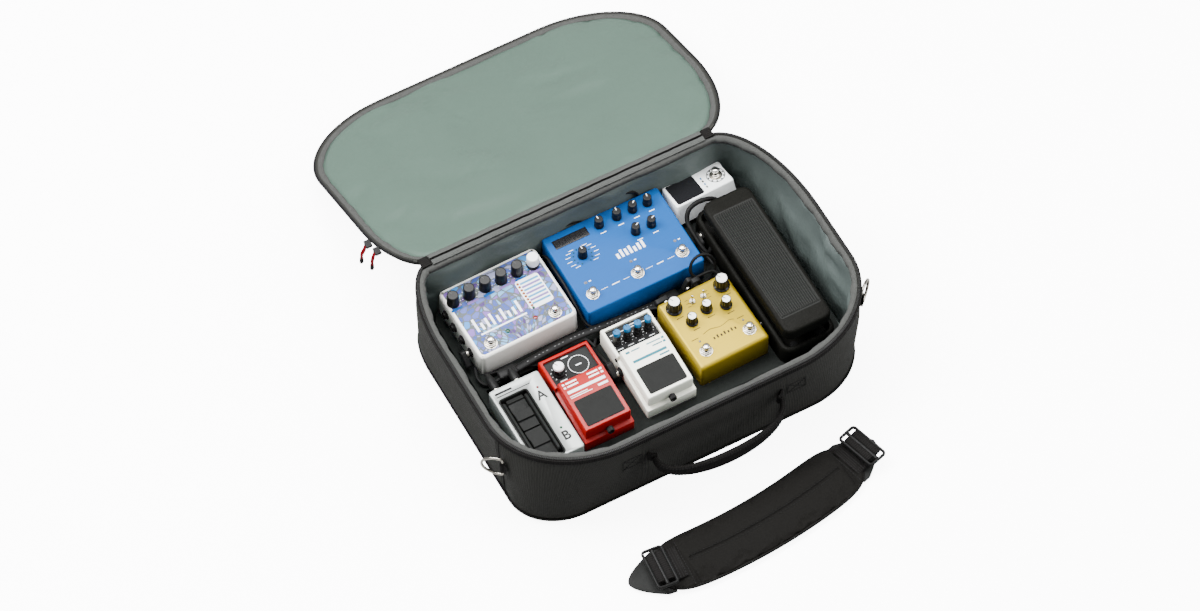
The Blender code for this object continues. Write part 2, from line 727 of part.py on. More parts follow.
def build_dual_footswitch():
    root = pedal_root("footswitch", FOOTSWITCH_PLACE)
    top = FOOTSWITCH_SIZE[2]
    well_x = -0.0100
    well_half_x = 0.0195
    well_half_y = 0.0530
    well_y = -0.0075
    joined = bmesh.new()
    cut = bmesh.new()
    for x in (-0.020, 0.010):
        add_cylinder(joined, 0.0055, (x, 0.063, 0.018), (x, 0.0685, 0.018), segments=12)
    add_cube(cut, (2 * well_half_x, 2 * well_half_y, 0.030), (well_x, well_y, top))
    finish_casing("footswitch_casing", rounded_box(FOOTSWITCH_SIZE, 0.003, 0.0015), SILVER_PAINT, root, joined, cut)
    for name, side in (("footswitch_rocker_a", 1.0), ("footswitch_rocker_b", -1.0)):
        length = well_half_y - 0.0035
        profile = (
            (0.0, -0.0060),
            (side * length, -0.0060),
            (side * length, 0.0045),
            (side * (length - 0.014), 0.0060),
            (side * (length - 0.016), 0.0025),
            (0.0, 0.0005),
        )
        rocker = add_part(name, extruded_profile(profile, well_half_x - 0.0015), RIBBED_RUBBER)
        place(rocker, (well_x, well_y + side * 0.0012, top - 0.0040), parent=root)


def build_wah():
    root = pedal_root("wah", WAH_PLACE)
    half_y = WAH_SIZE[1] / 2
    joined = bmesh.new()
    cut = bmesh.new()
    ear_half = TREADLE_SIZE[0] / 2 - 0.012
    add_cube(cut, (2 * ear_half + 0.006, WAH_SIZE[1] - 0.030, 0.040), (0.0, 0.0, 0.012 + 0.020))
    add_jacks(joined, -WAH_SIZE[0] / 2, (half_y - 0.030,), 0.016)
    finish_casing("wah_base", rounded_box(WAH_SIZE, 0.016, 0.0030, 0.0020), CRINKLE_BLACK, root, joined, cut)

    low = TREADLE_BOTTOM - WAH_PIVOT_Z
    centre_y = -WAH_PIVOT_Y - 0.003
    bm = rounded_box((TREADLE_SIZE[0], TREADLE_SIZE[1], TREADLE_SIZE[2]), 0.010, 0.0025, 0.0)
    bmesh.ops.translate(bm, verts=bm.verts, vec=(0.0, centre_y, low))
    treadle = add_part("wah_treadle", bm, RIBBED_RUBBER, smooth_angle=35)
    place(treadle, (0.0, WAH_PIVOT_Y, WAH_PIVOT_Z), parent=root)
    ears = bmesh.new()
    ear_height = low + 0.009
    for side in (-1.0, 1.0):
        x = side * (ear_half - 0.003)
        add_cube(ears, (0.006, 0.014, ear_height), (x, 0.0, ear_height / 2 - 0.005))
    boolean(treadle, add_helper("wah_treadle_ears", ears, treadle), "UNION")


def build_patch_cable():
    """A flat cable along the gap between the pedal rows, with a plug at each end."""
    y = 0.0300
    start = -0.185
    end = 0.052
    steps = 14
    rings = []
    for i in range(steps + 1):
        share = i / steps
        x = start + (end - start) * share
        z = DECK_TOP + 0.006 + 0.010 * math.sin(math.pi * share)
        sway = 0.0025 * math.sin(2.0 * math.pi * share)
        corners = ((-0.0055, -0.0018), (0.0055, -0.0018), (0.0055, 0.0018), (-0.0055, 0.0018))
        rings.append([(x, y + sway + dy, z + dz) for dy, dz in corners])
    cable = add_part("patch_cable", loft(rings), CABLE_BLACK)
    plugs = bmesh.new()
    for x in (start, end):
        add_cube(plugs, (0.026, 0.014, 0.012), (x, y, DECK_TOP + 0.0075))
    boolean(cable, add_helper("patch_cable_plugs", plugs, None), "UNION")


def build_all():
    build_case_base()
    build_case_lid()
    build_carry_handle()
    build_d_ring("d_ring_left", -1.0)
    build_d_ring("d_ring_right", 1.0)
    build_zip_pull("zip_pull_left", 0.066, 0.000)
    build_zip_pull("zip_pull_right", 0.088, 0.002)
    build_strap()
    build_board_deck()
    build_reverb()
    build_modulation()
    build_tuner()
    build_drive()
    delay_knobs = [(-0.0245 + 0.0153 * i, 0.0390) for i in range(4)]
    build_compact("delay", DELAY_PLACE, CREAM_PAINT, (0.006,), delay_knobs, 0.0055, 0.0270)
    build_compact("looper", LOOPER_PLACE, RED_PAINT, (-0.004, 0.014), [(-0.0185, 0.0390)], 0.0080, 0.0180)
    build_dual_footswitch()
    build_wah()
    build_patch_cable()


build_all()
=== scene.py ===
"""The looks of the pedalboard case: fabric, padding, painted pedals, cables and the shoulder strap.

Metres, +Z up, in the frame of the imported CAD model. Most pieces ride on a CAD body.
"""

import json
import math

import bmesh
import bpy
from mathutils import Euler, Matrix, Vector, noise
from mathutils.bvhtree import BVHTree


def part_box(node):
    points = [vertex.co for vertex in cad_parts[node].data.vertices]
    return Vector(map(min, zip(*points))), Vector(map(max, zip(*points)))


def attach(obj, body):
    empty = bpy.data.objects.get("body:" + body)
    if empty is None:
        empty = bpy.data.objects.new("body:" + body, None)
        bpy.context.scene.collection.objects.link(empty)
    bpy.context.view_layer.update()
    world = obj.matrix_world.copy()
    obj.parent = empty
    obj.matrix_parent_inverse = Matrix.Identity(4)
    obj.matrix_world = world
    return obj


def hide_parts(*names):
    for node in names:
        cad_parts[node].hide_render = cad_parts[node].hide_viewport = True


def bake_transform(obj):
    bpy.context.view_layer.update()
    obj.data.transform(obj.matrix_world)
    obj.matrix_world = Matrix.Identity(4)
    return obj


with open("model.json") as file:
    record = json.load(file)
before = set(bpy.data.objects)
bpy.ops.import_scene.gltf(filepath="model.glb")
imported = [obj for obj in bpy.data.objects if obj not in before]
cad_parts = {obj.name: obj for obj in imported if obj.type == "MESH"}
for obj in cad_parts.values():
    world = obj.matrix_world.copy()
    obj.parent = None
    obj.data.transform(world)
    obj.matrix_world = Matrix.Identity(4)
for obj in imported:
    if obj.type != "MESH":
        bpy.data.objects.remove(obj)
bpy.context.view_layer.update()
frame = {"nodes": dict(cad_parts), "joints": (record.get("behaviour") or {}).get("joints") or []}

IDENTITY = Matrix.Identity(4)
UP = Vector((0.0, 0.0, 1.0))
LEFT = (-1.0, 0.0, 0.0)
BACKWARD = (0.0, 1.0, 0.0)
GAP = 0.0003


# ---------------------------------------------------------------- materials


class Look:
    """One material and the node tree behind it."""

    def __init__(self, name, rgb, rough, metal=0.0):
        self.material = bpy.data.materials.new(name)
        self.material.use_nodes = True
        self.tree = self.material.node_tree
        self.shader = self.tree.nodes["Principled BSDF"]
        self.place = self.node("TexCoord").outputs["Object"]
        self.normal = None
        self.set("Base Color", (*rgb, 1.0))
        self.set("Roughness", rough)
        self.set("Metallic", metal)
        self.material.diffuse_color = (*rgb, 1.0)

    def set(self, name, value):
        """Sets a shader input, or links it when the value is an output socket."""
        self.fill(self.shader.inputs[name], value)

    def fill(self, socket, value):
        """Links an input to an output socket, or gives it a plain value."""
        if isinstance(value, bpy.types.NodeSocket):
            self.tree.links.new(value, socket)
        else:
            socket.default_value = value

    def node(self, kind, inputs=None, **settings):
        """A new shader node with its inputs filled and its settings made."""
        made = self.tree.nodes.new("ShaderNode" + kind)
        for key, value in settings.items():
            setattr(made, key, value)
        for key, value in (inputs or {}).items():
            self.fill(made.inputs[key], value)
        return made

    def math(self, operation, a, b=0.0):
        """The result of a math operation on two values."""
        return self.node("Math", {0: a, 1: b}, operation=operation).outputs[0]

    def noise(self, scale, detail=3.0, where=None):
        """A cloudy 0 to 1 value."""
        inputs = {"Vector": where or self.place, "Scale": scale, "Detail": detail}
        return self.node("TexNoise", inputs).outputs["Fac"]

    def cells(self, scale, feature="F1", output="Distance", where=None, randomness=1.0):
        """A Voronoi pattern."""
        inputs = {"Vector": where or self.place, "Scale": scale, "Randomness": randomness}
        return self.node("TexVoronoi", inputs, feature=feature).outputs[output]

    def steps(self, factor, stops, blend="LINEAR"):
        """A colour ramp; each stop is (position, red, green, blue)."""
        ramp = self.node("ValToRGB", {"Fac": factor})
        ramp.color_ramp.interpolation = blend
        elements = ramp.color_ramp.elements
        while len(elements) < len(stops):
            elements.new(0.5)
        for element, (position, *rgb) in zip(elements, stops):
            element.position = position
            element.color = (*rgb, 1.0)
        return ramp.outputs["Color"]

    def mix(self, factor, a, b):
        """A blend of two colours."""
        a = a if isinstance(a, bpy.types.NodeSocket) else (*a, 1.0)
        b = b if isinstance(b, bpy.types.NodeSocket) else (*b, 1.0)
        made = self.node("Mix", data_type="RGBA")
        for index, value in ((0, factor), (6, a), (7, b)):
            self.fill(made.inputs[index], value)
        return made.outputs[2]

    def span(self, value, low, high):
        """Stretches a 0 to 1 value to lie between low and high."""
        return self.node("MapRange", {"Value": value, "To Min": low, "To Max": high}).outputs[0]

    def bump(self, height, distance, strength=1.0):
        """Adds relief on top of the relief that is there already."""
        inputs = {"Height": height, "Distance": distance, "Strength": strength}
        made = self.node("Bump", inputs)
        if self.normal is not None:
            self.tree.links.new(self.normal, made.inputs["Normal"])
        self.normal = made.outputs["Normal"]
        self.set("Normal", self.normal)

    def bands(self, period, axis, where=None):
        """0 to 1 across each thread of this pitch along one axis."""
        inputs = {"Vector": where or self.place, "Scale": 0.314159 / period}
        return self.node("TexWave", inputs, bands_direction=axis).outputs["Fac"]


def tones(rgb, spread):
    """A darker and a lighter version of one colour."""
    return [tuple(min(1.0, c * share) for c in rgb) for share in (1.0 - spread, 1.0 + spread)]


def coated(name, rgb, rough, metal=0.0, grain=900.0, depth=0.00002, spread=0.12, clear=0.0):
    """Paint, plastic or bare metal: mottled tone, uneven polish and a fine grain."""
    look = Look(name, rgb, rough, metal)
    patches = look.noise(34.0, 5.0)
    look.set("Base Color", look.mix(patches, *tones(rgb, spread)))
    rubbed = look.noise(120.0, 6.0)
    look.set("Roughness", look.span(rubbed, max(0.03, rough - 0.1), min(1.0, rough + 0.1)))
    look.bump(look.noise(grain, 2.0), depth)
    look.set("Coat Weight", clear)
    look.set("Coat Roughness", 0.12)
    look.set("Specular IOR Level", 0.08 if max(rgb) < 0.05 else 0.22)
    return look


def woven(name, rgb, rough, pitch, depth, use_uv=True):
    """Plain weave: two sets of threads that pass over and under, coloured darker where they dip (painted
    shade), with loose patchy tone.
    """
    look = Look(name, rgb, rough)
    where = look.node("UVMap").outputs["UV"] if use_uv else look.place
    warp = look.bands(pitch[0], "X", where)
    weft = look.bands(pitch[1], "Y", where)
    height = look.math("MAXIMUM", look.math("MULTIPLY", warp, 0.8), weft)
    patches = look.noise(14.0, 4.0)
    # The threads' colour follows their height, darker where they dip under: painted shade.
    threads_with_painted_shade = look.mix(height, *tones(rgb, 0.6))
    look.set("Base Color", look.mix(look.span(patches, 0.0, 0.35), threads_with_painted_shade, tones(rgb, 0.4)[1]))
    look.set("Roughness", look.span(patches, rough - 0.08, rough + 0.08))
    look.set("Specular IOR Level", 0.035)
    look.bump(patches, 0.0006, 0.6)
    look.bump(height, depth)
    return look


def felted(name, rgb, scale=700.0, depth=0.0005):
    """Brushed fabric: soft clumps and short fibres."""
    look = Look(name, rgb, 0.95)
    clumps = look.noise(190.0, 6.0)
    fibres = look.noise(scale, 4.0)
    look.set("Base Color", look.mix(clumps, *tones(rgb, 0.22)))
    look.set("Sheen Weight", 0.02)
    look.set("Specular IOR Level", 0.03)
    look.bump(clumps, depth)
    look.bump(fibres, depth * 0.6)
    return look


def taffeta(name, rgb):
    """Smooth coated lining: fine threads under a soft, uneven shine."""
    look = Look(name, rgb, 0.5)
    soft = look.noise(9.0, 4.0)
    look.set("Base Color", look.mix(soft, *tones(rgb, 0.07)))
    look.set("Roughness", look.span(look.noise(60.0, 4.0), 0.42, 0.6))
    look.set("Specular IOR Level", 0.15)
    threads = look.math("ADD", look.bands(0.0008, "X"), look.bands(0.0008, "Y"))
    look.bump(threads, 0.00003)
    look.bump(look.noise(45.0, 3.0), 0.0009, 0.5)
    return look


def brushed(name, rgb, rough, metal, axis):
    """Anodised or polished metal with fine lines along one axis."""
    look = Look(name, rgb, rough, metal)
    scale = [1200.0] * 3
    scale[axis] = 40.0
    stretched = look.node("Mapping", {"Vector": look.place, "Scale": scale}).outputs[0]
    lines = look.noise(1.0, 3.0, stretched)
    look.set("Base Color", look.mix(lines, *tones(rgb, 0.07)))
    look.set("Roughness", look.span(lines, rough - 0.07, rough + 0.07))
    look.set("Specular IOR Level", 0.12)
    look.bump(lines, 0.000012)
    return look


def crinkled(name, rgb):
    """Powder coat with a leathery crinkle."""
    look = Look(name, rgb, 0.55)
    cracks = look.cells(620.0, "F1")
    # The colour follows the crinkle's height, darker in its low pits: painted shade.
    look.set("Base Color", look.mix(cracks, *tones(rgb, 0.35)))
    look.set("Roughness", look.span(look.noise(80.0, 4.0), 0.42, 0.68))
    look.set("Specular IOR Level", 0.05)
    look.bump(cracks, 0.00025)
    return look


def mosaic(name):
    """Small glass-like tiles in cool colours with grey joints."""
    look = Look(name, (0.4, 0.5, 0.7), 0.3)
    parts = look.node("SeparateXYZ", {"Vector": look.place})
    x = look.math("ADD", parts.outputs[0], 0.006)
    y = look.math("ADD", parts.outputs[1], 0.072)
    angle = look.math("MULTIPLY", look.math("ARCTAN2", y, x), 9.0)
    reach = look.math("SQRT", look.math("ADD", look.math("POWER", x, 2.0), look.math("POWER", y, 2.0)))
    polar = look.node("CombineXYZ", {0: angle, 1: look.math("MULTIPLY", reach, 120.0)}).outputs[0]
    pick = look.cells(1.0, "F1", "Color", polar, 0.85)
    stops = (
        (0.00, 0.02, 0.042, 0.215),
        (0.26, 0.022, 0.15, 0.39),
        (0.4, 0.05, 0.07, 0.27),
        (0.5, 0.128, 0.06, 0.275),
        (0.6, 0.03, 0.006, 0.085),
        (0.66, 0.09, 0.24, 0.42),
        (0.76, 0.19, 0.2, 0.33),
    )
    tile = look.steps(look.node("SeparateColor", {0: pick}).outputs[0], stops, "CONSTANT")
    joint = look.math("LESS_THAN", look.cells(1.0, "DISTANCE_TO_EDGE", "Distance", polar, 0.85), 0.075)
    foil = look.cells(900.0, "F1", "Distance")
    shaded = look.mix(look.span(foil, 0.0, 0.12), tile, (0.2, 0.24, 0.3))
    look.set("Base Color", look.mix(joint, shaded, (0.06, 0.072, 0.072)))
    look.set("Metallic", look.span(joint, 0.2, 0.0))
    look.set("Roughness", look.span(look.noise(200.0, 3.0), 0.22, 0.42))
    look.set("Specular IOR Level", 0.2)
    look.bump(look.math("SUBTRACT", 1.0, joint), 0.00006)
    return look


def lamp(name, rgb, glow):
    """A small clear light with a dim glow inside."""
    look = coated(name, rgb, 0.15, clear=0.6)
    look.set("Emission Color", (*rgb, 1.0))
    look.set("Emission Strength", glow)
    return look


NYLON = woven("black_nylon", (0.0185, 0.0187, 0.0172), 0.62, (0.0034, 0.0028), 0.0006)
WEBBING = woven("black_webbing", (0.0055, 0.0052, 0.005), 0.68, (0.0016, 0.003), 0.0005)
PAD_FABRIC = woven("pad_fabric", (0.0044, 0.0042, 0.0038), 0.72, (0.0013, 0.0013), 0.0002, use_uv=False)
FELT = felted("grey_felt", (0.043, 0.044, 0.042))
GUSSET = woven("grey_tape", (0.041, 0.043, 0.041), 0.8, (0.0018, 0.0018), 0.0003, use_uv=False)
LINING = taffeta("grey_lining", (0.049, 0.078, 0.062))
# The same lining fabric as the lid's, given a lighter, greyer colour that stands in for the light on the
# walls: painted light.
LINING_PAINTED_LIGHTER = taffeta("wall_lining", (0.076, 0.094, 0.09))
THREAD = coated("black_thread", (0.009, 0.009, 0.009), 0.7, grain=4000.0)
GREY_THREAD = coated("grey_thread", (0.05, 0.05, 0.05), 0.8, grain=4000.0)
ZIP_TEETH = coated("zip_teeth", (0.012, 0.012, 0.012), 0.38, grain=2500.0)
NICKEL = coated("nickel", (0.36, 0.34, 0.3), 0.26, 1.0, depth=0.00003)
CHROME = coated("chrome", (0.6, 0.58, 0.54), 0.16, 1.0, grain=500.0, depth=0.00001, spread=0.06)
BLACK_PLASTIC = coated("black_plastic", (0.007, 0.007, 0.007), 0.42, grain=1600.0, depth=0.00006)
KNOB_BLACK = coated("knob_black", (0.006, 0.006, 0.0062), 0.3, grain=1500.0, clear=0.08)
CABLE_BLACK = coated("cable_black", (0.0055, 0.0055, 0.0055), 0.48, grain=700.0, depth=0.00006)
RED_CORD = woven("red_cord", (0.15, 0.003, 0.007), 0.6, (0.0008, 0.0008), 0.0002, use_uv=False)
DECK_FELT = felted("deck_loop_fabric", (0.011, 0.0125, 0.0115), 900.0, 0.0006)
CAST_PAINT = coated("cast_silver", (0.74, 0.73, 0.69), 0.4, 0.1, grain=1300.0, depth=0.0001, spread=0.05)
MOSAIC = mosaic("mosaic_print")
BLUE_METAL = brushed("blue_anodised", (0.0, 0.056, 0.215), 0.46, 0.05, 0)
GOLD_METAL = brushed("gold_anodised", (0.29, 0.205, 0.01), 0.38, 0.45, 0)
SILVER_METAL = brushed("brushed_silver", (0.5, 0.5, 0.48), 0.34, 0.85, 1)
WHITE_PAINT = coated("white_paint", (0.8, 0.82, 0.82), 0.34, grain=700.0, spread=0.03, clear=0.15)
CREAM_PAINT = coated("cream_paint", (0.86, 0.86, 0.76), 0.4, 0.0, 900.0, 0.00004, 0.04, 0.08)
RED_PAINT = coated("red_paint", (0.26, 0.0018, 0.0012), 0.38, 0.0, 900.0, 0.00004, 0.06, 0.08)
SILVER_PAINT = coated("silver_paint", (0.35, 0.37, 0.36), 0.38, 0.35, 2200.0, 0.00004, 0.06)
CRINKLE = crinkled("crinkle_black", (0.0035, 0.0035, 0.0028))
RUBBER = coated("ribbed_rubber", (0.0135, 0.014, 0.013), 0.62, grain=1200.0, depth=0.00008)
PAD_RUBBER = coated("pad_rubber", (0.008, 0.0084, 0.008), 0.58, grain=1500.0, depth=0.0001)
PANEL_DARK = coated("dark_panel", (0.01, 0.0105, 0.0105), 0.45, grain=1800.0, depth=0.00006)
SCREEN = coated("black_glass", (0.006, 0.006, 0.007), 0.09, grain=300.0, depth=0.000005, clear=1.0)
CAP_GREY = coated("cap_grey", (0.03, 0.03, 0.03), 0.5, grain=1500.0)
CAP_CYAN = coated("cap_cyan", (0.0, 0.085, 0.21), 0.38, grain=1500.0, spread=0.05)
CAP_WHITE = coated("cap_white", (0.82, 0.83, 0.84), 0.36, grain=1500.0, spread=0.03)
INK_WHITE = coated("white_ink", (0.78, 0.8, 0.82), 0.5, grain=2500.0, spread=0.08)
GREY_INK = coated("grey_ink", (0.1, 0.1, 0.1), 0.5, grain=2500.0, spread=0.08)
INK_BLACK = coated("black_ink", (0.014, 0.014, 0.014), 0.5, grain=2500.0)
INK_TEAL = coated("teal_ink", (0.01, 0.12, 0.16), 0.5, grain=2500.0)
INK_CYAN = coated("cyan_ink", (0.03, 0.2, 0.4), 0.45, grain=2500.0, spread=0.06)
INK_LILAC = coated("lilac_ink", (0.15, 0.09, 0.29), 0.45, grain=2500.0, spread=0.06)
RED_LAMP = lamp("red_lamp", (0.1, 0.003, 0.004), 0.5)
GREEN_LAMP = lamp("green_lamp", (0.003, 0.038, 0.015), 0.2)
ORANGE_LAMP = lamp("orange_lamp", (0.17, 0.033, 0.002), 0.3)
GREY_LAMP = lamp("grey_lamp", (0.1, 0.1, 0.11), 0.0)


# ---------------------------------------------------------------- mesh helpers


def piece(name, bm, looks, body, matrix=IDENTITY, smooth=35.0, node=""):
    """A finished mesh that rides on a CAD body; looks is one Look or a list of them.

    node is the CAD node that it is shown in place of.
    """
    mesh = bpy.data.meshes.new(name)
    bmesh.ops.recalc_face_normals(bm, faces=bm.faces)
    bm.to_mesh(mesh)
    bm.free()
    for look in looks if isinstance(looks, list) else [looks]:
        mesh.materials.append(look.material)
    if smooth:
        mesh.shade_smooth()
        mesh.set_sharp_from_angle(angle=math.radians(smooth))
    obj = bpy.data.objects.new(name, mesh)
    bpy.context.scene.collection.objects.link(obj)
    obj.matrix_world = matrix
    if body:
        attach(obj, body)
    if node:
        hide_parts(node)
    return obj


def bevelled(obj, width, segments=2):
    """Rounds the sharp edges of a piece."""
    modifier = obj.modifiers.new("edges", "BEVEL")
    modifier.width = width
    modifier.segments = segments
    modifier.limit_method = "ANGLE"
    modifier.angle_limit = math.radians(35.0)
    modifier.harden_normals = False


def loft(bm, rings, caps=(True, True), cyclic=False, slot=0):
    """Faces through rings of points, with UVs that measure metres along and across."""
    uv = bm.loops.layers.uv.verify()
    rows = [[bm.verts.new(point) for point in ring] for ring in rings]
    count = len(rows[0])
    middle = rings[len(rings) // 2]
    along = [0.0]
    for a, b in zip(middle, middle[1:] + middle[:1]):
        along.append(along[-1] + (Vector(b) - Vector(a)).length)
    across = [0.0]
    for lower, upper in zip(rings, rings[1:] + rings[:1]):
        across.append(across[-1] + (Vector(upper[0]) - Vector(lower[0])).length)
    for k in range(len(rows) if cyclic else len(rows) - 1):
        lower = rows[k]
        upper = rows[(k + 1) % len(rows)]
        for i in range(count):
            j = (i + 1) % count
            face = bm.faces.new((lower[i], lower[j], upper[j], upper[i]))
            face.material_index = slot
            spots = ((i, k), (i + 1, k), (i + 1, k + 1), (i, k + 1))
            for loop, (a, b) in zip(face.loops, spots):
                loop[uv].uv = (along[a], across[b])
    for wanted, row in zip(caps, (rows[0][::-1], rows[-1])):
        if wanted:
            face = bm.faces.new(row)
            face.material_index = slot
            for loop in face.loops:
                loop[uv].uv = loop.vert.co.xy
    return rows


def circle(radius, sides, stretch=1.0):
    """Points of a circle, or of an ellipse when it is stretched."""
    turns = [2.0 * math.pi * i / sides for i in range(sides)]
    return [(radius * math.cos(t), radius * stretch * math.sin(t)) for t in turns]


def rounded_strip(width, thick, bulge=0.0):
    """A flat band's cross-section with rounded sides."""
    w = width / 2
    t = thick / 2
    r = min(t, w) * 0.8
    return [
        (w, -t + r), (w, t - r), (w - r, t), (0.0, t + bulge), (-w + r, t),
        (-w, t - r), (-w, -t + r), (-w + r, -t), (0.0, -t - bulge), (w - r, -t),
    ]


def joint_spot(name):
    """Where the frame has a joint."""
    return Vector(next(joint["pos_m"] for joint in frame["joints"] if joint["name"] == name))


def evaluated_mesh(obj):
    """A copy of the object's mesh with its modifiers applied."""
    bpy.context.view_layer.update()
    return bpy.data.meshes.new_from_object(obj.evaluated_get(bpy.context.evaluated_depsgraph_get()))


def smooth_path(points, samples=6, closed=False):
    """A Catmull-Rom curve through the points."""
    points = [Vector(point) for point in points]
    count = len(points)
    path = []
    for i in range(count if closed else count - 1):
        around = [i + k for k in (-1, 0, 1, 2)]
        a, b, c, d = (points[k % count if closed else min(max(k, 0), count - 1)] for k in around)
        bend = 2 * a - 5 * b + 4 * c - d
        twist = 3 * b - a - 3 * c + d
        for step in range(samples):
            t = step / samples
            path.append(0.5 * (2 * b + (c - a) * t + bend * t**2 + twist * t**3))
    return path if closed else path + [points[-1]]


def sweep(bm, path, profile, up=UP, closed=False, scale=None):
    """Draws a cross-section along a path: its x runs sideways and its y along up."""
    path = [Vector(point) for point in path]
    count = len(path)
    up = Vector(up)
    rings = []
    for i, point in enumerate(path):
        ahead = path[(i + 1) % count] if closed or i + 1 < count else point
        behind = path[i - 1] if closed or i > 0 else point
        forward = (ahead - behind).normalized()
        side = forward.cross(up)
        if side.length < 0.2:
            side = forward.cross(Vector((0.3, 1.0, 0.2)))
        side.normalize()
        lift = side.cross(forward)
        size = scale(i / max(1, count - 1)) if scale else 1.0
        rings.append([point + side * x * size + lift * y * size for x, y in profile])
    loft(bm, rings, (not closed, not closed), cyclic=closed)


def box(bm, size, centre, matrix=IDENTITY, slot=0):
    """A block of one size about a centre."""
    place = matrix @ Matrix.Translation(centre) @ Matrix.Diagonal((*size, 1.0))
    verts = bmesh.ops.create_cube(bm, size=1.0, matrix=place)["verts"]
    for face in {face for vert in verts for face in vert.link_faces}:
        face.material_index = slot


def lathe(bm, profile, sides=32, matrix=IDENTITY, ripple=None, slots=None):
    """Turns a (radius, z) profile about Z; ripple(turn, k) scales the radius of row k."""
    rings = []
    for k, (radius, z) in enumerate(profile):
        ring = []
        for i in range(sides):
            turn = 2.0 * math.pi * i / sides
            reach = max(radius, 0.00002) * (ripple(turn, k) if ripple else 1.0)
            ring.append(matrix @ Vector((reach * math.cos(turn), reach * math.sin(turn), z)))
        rings.append(ring)
    rows = loft(bm, rings)
    if slots:
        for k, slot in enumerate(slots[: len(rows) - 1]):
            for vert, other in zip(rows[k], rows[k + 1]):
                for face in vert.link_faces:
                    if other in face.verts:
                        face.material_index = slot
        for face in rows[-1][0].link_faces:
            if len(face.verts) == sides:
                face.material_index = slots[-1]


def pointing(place, direction):
    """A matrix at a place whose Z looks along a direction."""
    turn = UP.rotation_difference(Vector(direction)).to_matrix().to_4x4()
    return Matrix.Translation(place) @ turn


def segments(path):
    """(start, direction, length) of each stretch of a path that has any length."""
    path = [Vector(point) for point in path]
    for a, b in zip(path, path[1:]):
        length = (b - a).length
        if length > 1e-7:
            yield a, (b - a) / length, length


def stitches(bm, path, length=0.0026, gap=0.0016, radius=0.00035, normal=UP):
    """A row of short thread dashes along a path."""
    pitch = length + gap
    offset = 0.0
    for a, forward, span in segments(path):
        spot = -offset % pitch
        while spot < span:
            middle = a + forward * spot
            ends = [middle - forward * length / 2, middle, middle + forward * length / 2]
            sweep(bm, ends, circle(radius, 5), up=normal)
            spot += pitch
        offset = (offset + span) % pitch


def along_ring(ring, spacing):
    """Evenly spaced (point, direction) pairs round a closed ring."""
    left = 0.0
    for a, forward, span in segments(ring + ring[:1]):
        while left < span:
            yield a + forward * left, forward
            left += spacing
        left -= span


# ---------------------------------------------------------------- the soft case

CASE_HALF_X = 0.266
CASE_HALF_Y = 0.183
CASE_HEIGHT = 0.145
CASE_WALL = 0.008
CASE_FLOOR = 0.01
FRONT_CORNER = (0.14, 0.115)
BACK_LEFT_CORNER = (0.046, 0.12)
BACK_RIGHT_CORNER = (0.075, 0.165)
CORNER_STEPS = 22
SIDE_STEPS = 14
HINGE = joint_spot("case_lid_hinge")
LID_TILT = math.radians(22.0)
LID_INSET = 0.006
LID_PLACE = Matrix.Translation(HINGE) @ Matrix.Rotation(-math.pi - LID_TILT, 4, "X")
SEAMS_X = (-0.096, 0.104)
SEAM_Y = -0.092
HANDLE_STEPS = 48

# Height, inset of the left, right, front and back walls, share of the corner size, and that of the
# front right corner
CASE_LEVELS = (
    (0.0, 0.018, 0.024, 0.02, 0.012, 0.52, 0.64),
    (0.004, 0.01, 0.016, 0.012, 0.006, 0.54, 0.68),
    (0.014, 0.007, 0.013, 0.009, 0.004, 0.56, 0.72),
    (0.055, 0.005, 0.009, 0.006, 0.003, 0.62, 0.78),
    (0.1, 0.002, 0.003, 0.003, 0.001, 0.8, 0.9),
    (CASE_HEIGHT, 0.0, 0.0, 0.0, 0.0, 1.0, 1.0),
)


def outline(left, right, front, back, radii, steps=CORNER_STEPS, between=SIDE_STEPS):
    """A plan outline with elliptical corners, counter-clockwise from the right side."""
    signs = ((1.0, 1.0), (-1.0, 1.0), (-1.0, -1.0), (1.0, -1.0))
    corners = []
    for turn, ((sx, sy), (rx, ry)) in enumerate(zip(signs, radii)):
        centre = ((right if sx > 0 else left) - sx * rx, (back if sy > 0 else front) - sy * ry)
        corner = []
        for i in range(steps + 1):
            angle = math.radians(90.0 * (turn + i / steps))
            corner.append((centre[0] + rx * math.cos(angle), centre[1] + ry * math.sin(angle)))
        corners.append(corner)
    points = []
    for corner, after in zip(corners, corners[1:] + corners[:1]):
        points += corner
        a = Vector(corner[-1])
        b = Vector(after[0])
        points += [tuple(a.lerp(b, i / between)) for i in range(1, between)]
    return points


def level_at(z):
    """The row of CASE_LEVELS at one height, interpolated."""
    for lower, upper in zip(CASE_LEVELS, CASE_LEVELS[1:]):
        if z <= upper[0]:
            break
    share = max(0.0, (z - lower[0]) / (upper[0] - lower[0]))
    return [a + (b - a) * share for a, b in zip(lower, upper)]


def level(span, radius, z, inset=0.0, grid=(5, 2), matrix=IDENTITY):
    """One ring of a rounded rectangle (left, right, front, back), drawn in by an inset."""
    left, right, front, back = span
    flat = outline(left + inset, right - inset, front + inset, back - inset, [(radius, radius)] * 4, *grid)
    return [matrix @ Vector((a, b, z)) for a, b in flat]


def about(centre, half_x, half_y):
    """The span of a rectangle about a centre."""
    return (centre[0] - half_x, centre[0] + half_x, centre[1] - half_y, centre[1] + half_y)


def case_ring(z, inset=0.0, height=None):
    """The case's outline at one height, drawn in by an inset."""
    _, left, right, front, back, share, right_share = level_at(z)
    corners = (BACK_RIGHT_CORNER, BACK_LEFT_CORNER, FRONT_CORNER, FRONT_CORNER)
    parts = (share, share, share, right_share)
    radii = [[max(0.002, (r - inset) * part) for r in corner] for corner, part in zip(corners, parts)]
    flat = outline(
        -CASE_HALF_X + left + inset,
        CASE_HALF_X - right - inset,
        -CASE_HALF_Y + front + inset,
        CASE_HALF_Y - back - inset,
        radii,
    )
    return [Vector((x, y, z if height is None else height)) for x, y in flat]


